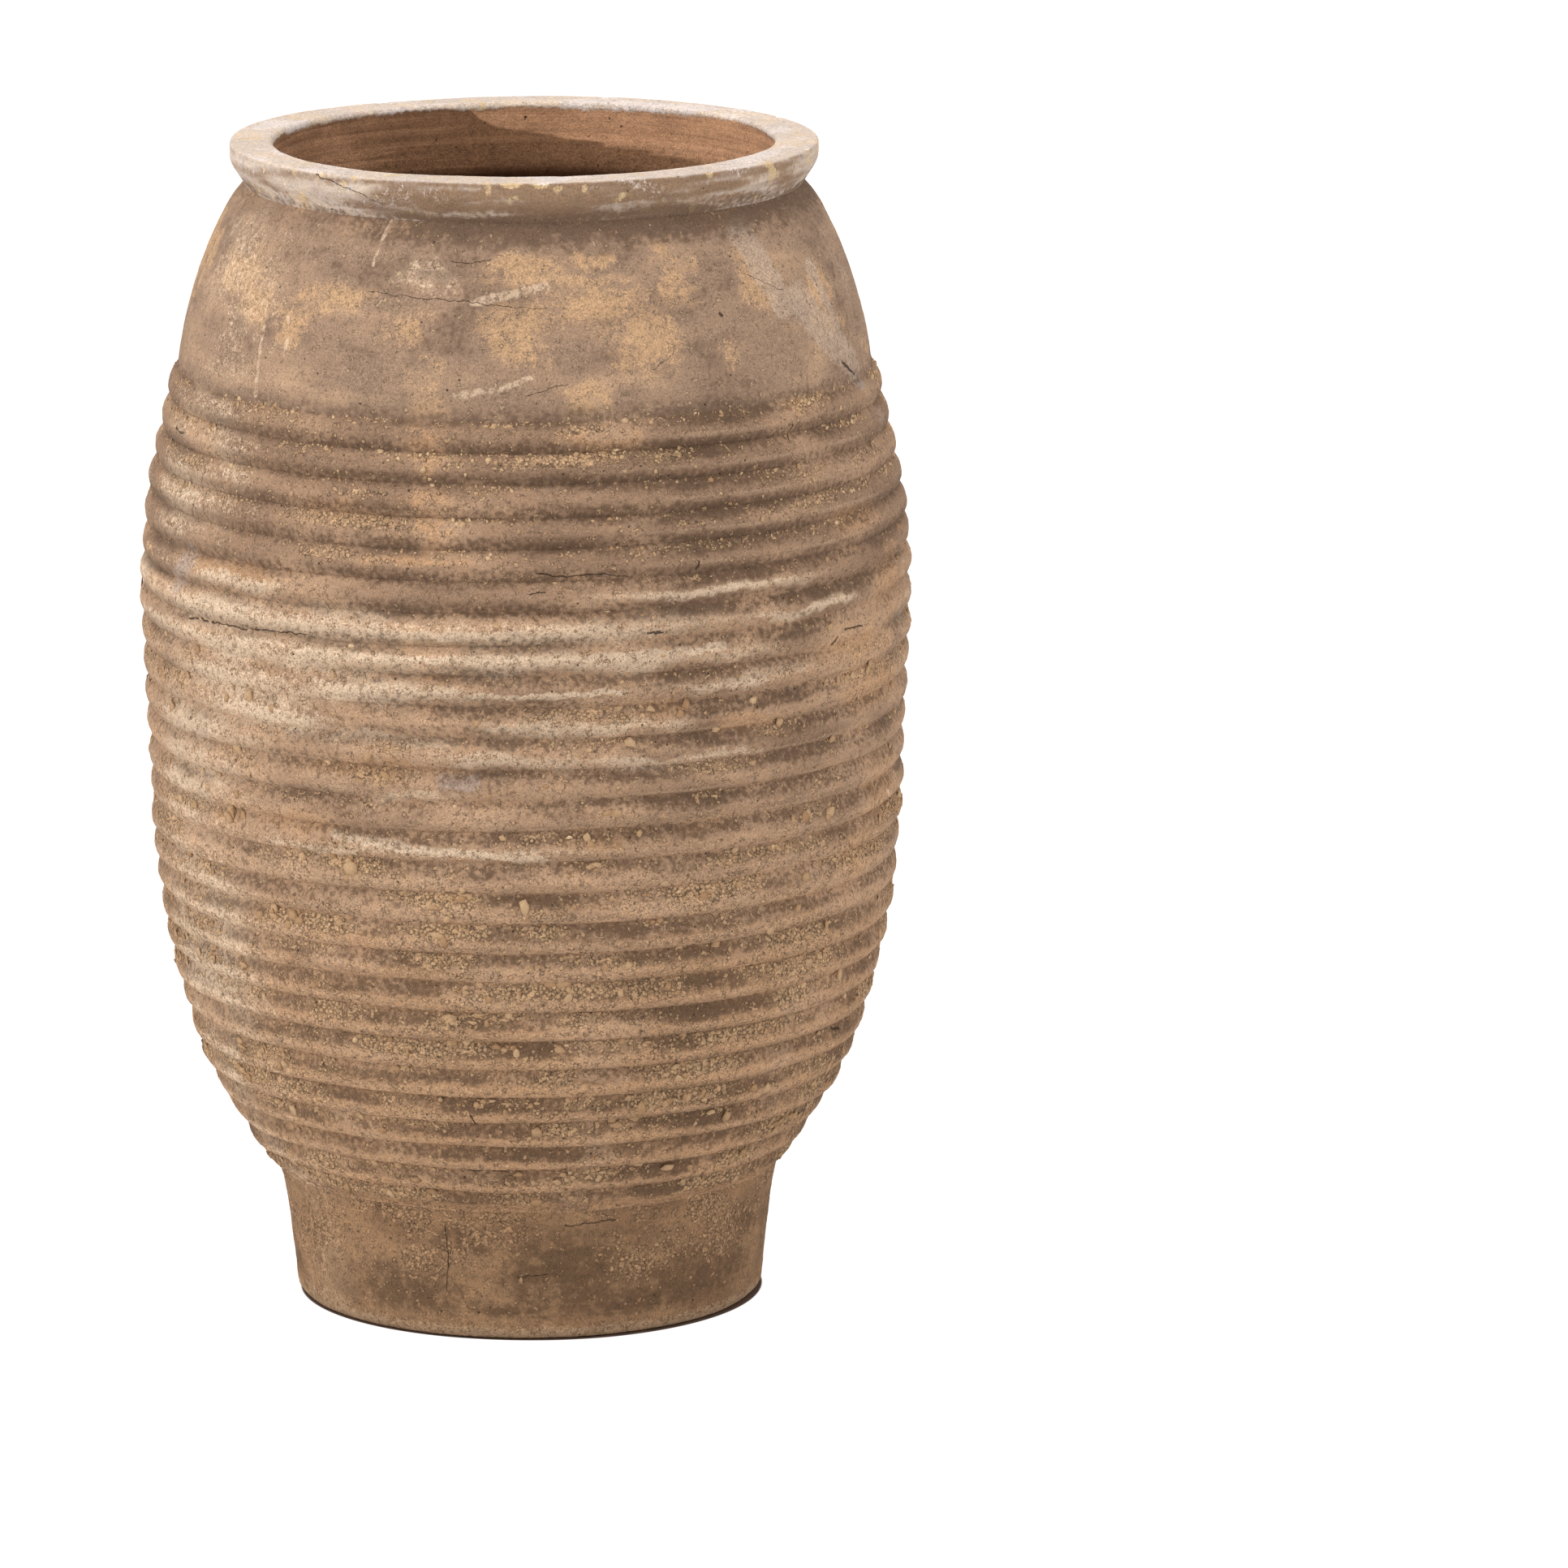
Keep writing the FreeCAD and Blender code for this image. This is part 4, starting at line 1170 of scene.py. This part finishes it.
def clay_material(slot):
    shader = Shader(slot)
    palette = {name: colour(*rgb) for name, rgb in zip(PALETTE_NAMES, PALETTES[slot])}
    plus = shader.plus
    minus = shader.minus
    times = shader.times
    share = shader.share
    mix = shader.mix
    wear = WEAR_SHARES[slot]
    tone = {name: shader.attribute(name) for name in TONE_NAMES}
    broad = shader.noise(BROAD_SCALE, 4, 0.6)
    mottle = shader.noise(MOTTLE_SCALE, 5, 0.65)
    ragged = shader.noise(RAGGED_SCALE, 4, 0.6)
    grit = shader.noise(GRIT_SCALE, 3, 0.6)
    wipes = shader.noise(RAGGED_SCALE, 3, 0.6, WIPE_STRETCH)
    edge = times(minus(plus(ragged, times(grit, 0.6)), 0.8), 1.6)
    base = mix(share(mottle, 0.35, 0.7), palette["clay"], mix(0.35, palette["clay"], palette["ochre"]))
    for name, strength, raggedness in STAIN_AND_PAINTED_LIGHT_LAYERS:
        change = times(times(edge, raggedness), share(tone[name], 0.0, 0.25))
        layer_share = share(plus(tone[name], change), 0.15, 0.85, 0.0, strength)
        base = mix(layer_share, base, palette[name])
    base = mix(share(plus(tone["crust"], edge), 0.35, 0.9, 0.0, 0.4), base, palette["crust"])

    # Flakes, granules and specks of lime, with dirt and painted shadow along the flakes' edges and painted
    # shadow round the granules
    flakes = plus(shader.noise(FLAKE_SCALE, 5, 0.65), times(tone["crust"], 0.17))
    flake = share(flakes, 0.615, 0.64, 0.0, wear)
    flake_edge_dirt_and_shadow = share(shader.math("ABSOLUTE", minus(flakes, 0.605)), 0.018, 0.005, 0.0, wear)
    base = mix(times(flake, 0.6), base, palette["crust"])
    base = mix(times(flake_edge_dirt_and_shadow, 0.8), base, palette["grime_and_shade"])
    distance, pick = shader.cells(GRANULE_SCALE)
    pick_share = shader.vector("DOT_PRODUCT", pick, (0.5, 0.5, 0), 1)
    chosen = share(plus(pick_share, times(tone["crust"], 0.75)), 0.93, 1.0)
    granule = times(chosen, share(distance, 0.55, 0.3))
    granule_shadow = times(chosen, share(shader.math("ABSOLUTE", minus(distance, 0.6)), 0.14, 0.04))
    base = mix(times(granule, 0.5), base, palette["crust"])
    base = mix(times(granule_shadow, 0.7), base, palette["grime_and_shade"])
    speck = share(shader.noise(SPECK_SCALE, 2, 0.5), 0.64, 0.74, 0.0, wear)
    speck_place = plus(plus(times(tone["grime_and_shade"], 0.45), times(tone["crust"], 0.45)), 0.22)
    base = mix(times(speck, speck_place, True), base, palette["grime_and_shade"])

    # Chalky marks, then the clay inside the mouth
    flat = shader.rolled_out()
    pale_line = times(shader.lines(flat, PALE_LINES.get(slot, ())), share(ragged, 0.38, 0.56))
    base = mix(times(pale_line, 0.7), base, palette["pale"])
    # Inside, dark below the arched edge and lighter orange above it: partly painted light and shade, partly a
    # tide mark
    inner_share = times(plus(tone["lit_inside_and_tide"], times(minus(wipes, 0.5), 1.6)), 1.0, True)
    base = mix(tone["inside"], base, mix(inner_share, INSIDE_DARK, palette["inside"]))

    # Light and shade of the grain, then pinholes and cracks
    grains = [(grit, 1.3 + 0.8 * wear), (ragged, 0.5 + 0.45 * wear), (wipes, 0.3)]
    grains += [(mottle, 0.45), (broad, 0.2)]
    light = 1 - sum(strength for grain, strength in grains) / 2
    for grain, strength in grains:
        light = plus(times(grain, strength), light)
    shade = shader.add("CombineColor")
    for socket in shade.inputs[:3]:
        shader.feed(socket, light)
    base = mix(1.0, base, shade.outputs[0], "MULTIPLY")
    # Pinholes and cracks painted dark, as painted shade inside them
    distance, pick = shader.cells(PINHOLE_SCALE)
    pick_share = shader.vector("DOT_PRODUCT", pick, (1, 0, 0), 1)
    pinholes = times(share(distance, 0.11, 0.05), share(pick_share, 0.80, 0.82))
    holes = shader.math("MAXIMUM", pinholes, shader.lines(flat, DARK_LINES[slot]))
    base = mix(times(holes, 0.85), base, HOLE_SHADE)

    height = plus(plus(times(grit, 0.9), times(ragged, 0.8)), times(wipes, 0.5))
    height = minus(height, times(holes, 1.6))
    height = plus(plus(height, times(granule, 1.3)), times(flake, 0.9))
    return shader.finish(base, share(mottle, 0.2, 0.8, 0.86, 0.98), height, 0.95, 0.9 * MM)


def crumb_material():
    shader = Shader("lime_crumbs")
    grit = shader.noise(CRUMB_SCALE, 3)
    base = shader.mix(shader.attribute("tint"), colour(170, 132, 96), colour(220, 188, 148))
    base = shader.mix(shader.share(grit, 0.4, 0.7, 0.0, 0.45), base, colour(132, 102, 76))
    return shader.finish(base, shader.share(grit, 0.2, 0.8, 0.85, 0.97), grit, 0.4, 0.3 * MM)


materials = {slot: clay_material(slot) for slot in PALETTES}
pieces = [make_coil(number, name) for number, name in enumerate(coil_names)]
pieces.append(make_wall("foot_wall", "foot_clay", FOOT_SPACING, 5))
pieces.append(make_wall("shoulder_wall", "shoulder_clay", SHOULDER_SPACING, 4))
pieces.append(make_rim())
pieces.append(make_disc())
pieces.append(make_corner_coil())
for piece in pieces:
    piece.data.materials.append(materials[piece["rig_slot"]])
crumb_pieces = [
    make_crumbs("lime_crumbs_fine", 7, False, 0.9 * MM, 3.0 * MM),
    make_crumbs("lime_crumbs_coarse", 8, True, 1.0 * MM, 6.5 * MM),
    make_crumbs("lime_crumbs_low", 9, True, 0.7 * MM, 2.2 * MM),
]
crumb_clay = crumb_material()
for piece in crumb_pieces:
    piece.data.materials.append(crumb_clay)

# Floor: it shines white to the camera, apart from a thin ring of painted contact shadow where the foot rests,
# wider to the right, and lights evenly
FLOOR_HALF = 60.0
WHITE = (1, 1, 1, 1)
FLOOR_BOUNCE = (0.75, 0.75, 0.75, 1)
FLOOR_ROUGHNESS = 0.9
CONTACT_SHADE = (0.12, 0.08, 0.06, 1)
CONTACT_RADIUS = 217 * MM
CLEAR_RADIUS = 219 * MM
SHADOW_START = -60 * MM
SHADOW_END = 90 * MM
SHADOW_WIDTH = 3 * MM
floor_mesh = bpy.data.meshes.new("floor")
FLOOR_CORNERS = [(-1, -1), (1, -1), (1, 1), (-1, 1)]
floor_points = [(across * FLOOR_HALF, along * FLOOR_HALF, 0) for across, along in FLOOR_CORNERS]
floor_mesh.from_pydata(floor_points, [], [(0, 1, 2, 3)])
floor = add_object("floor", floor_mesh)
floor_shader = Shader("floor_white")
seen = floor_shader.add("LightPath").outputs["Is Camera Ray"]
floor_colour = floor_shader.mix(seen, FLOOR_BOUNCE, CONTACT_SHADE)
floor_shader.feed(floor_shader.surface.inputs["Base Color"], floor_colour)
floor_shader.surface.inputs["Emission Color"].default_value = WHITE
from_axis = floor_shader.vector("LENGTH", floor_shader.coordinates, output=1)
to_right = floor_shader.vector("DOT_PRODUCT", floor_shader.coordinates, (1, 0, 0), 1)
shadow_width = floor_shader.share(to_right, SHADOW_START, SHADOW_END, 0.0, SHADOW_WIDTH)
clear_share = floor_shader.share(floor_shader.minus(from_axis, shadow_width), CONTACT_RADIUS, CLEAR_RADIUS)
shine = floor_shader.times(seen, clear_share)
floor_shader.feed(floor_shader.surface.inputs["Emission Strength"], shine)
floor_shader.surface.inputs["Roughness"].default_value = FLOOR_ROUGHNESS
floor_shader.surface.inputs["Specular IOR Level"].default_value = 0.0
floor_mesh.materials.append(floor_shader.material)

# Lights and camera
WORLD_STRENGTH = 0.5


def soft_sun(name, azimuth, elevation, spread_angle, strength):
    """A wide, soft light from an azimuth right of the front and an elevation, in degrees."""
    sun_data = bpy.data.lights.new(name, "SUN")
    sun_data.angle = spread_angle * DEGREE
    sun_data.energy = strength
    sun = add_object(name, sun_data)
    side = math.cos(elevation * DEGREE)
    across = side * math.sin(azimuth * DEGREE)
    source = Vector((across, -side * math.cos(azimuth * DEGREE), math.sin(elevation * DEGREE)))
    sun.rotation_euler = (-source).to_track_quat("-Z", "Y").to_euler()


soft_sun("top_light", -20, 74, 100, 1.8)
soft_sun("left_light", -72, 26, 50, 1.25)
soft_sun("right_light", 74, 22, 50, 0.6)
world = bpy.data.worlds.new("studio")
bpy.context.scene.world = world
world.use_nodes = True
background = world.node_tree.nodes["Background"]
background.inputs["Color"].default_value = WHITE
background.inputs["Strength"].default_value = WORLD_STRENGTH

camera_data = bpy.data.cameras.new("camera")
camera_data.sensor_width = SENSOR_WIDTH
camera_data.lens = FOCAL_PIXELS / PHOTO_PIXELS * SENSOR_WIDTH
camera_data.clip_end = CLIP_END
camera = add_object("camera", camera_data)
camera.location = (0, -CAMERA_DISTANCE, CAMERA_HEIGHT)
camera.rotation_euler = (math.pi / 2 - CAMERA_PITCH, 0, -CAMERA_YAW)
bpy.context.scene.camera = camera
bpy.context.scene.view_settings.view_transform = "Standard"
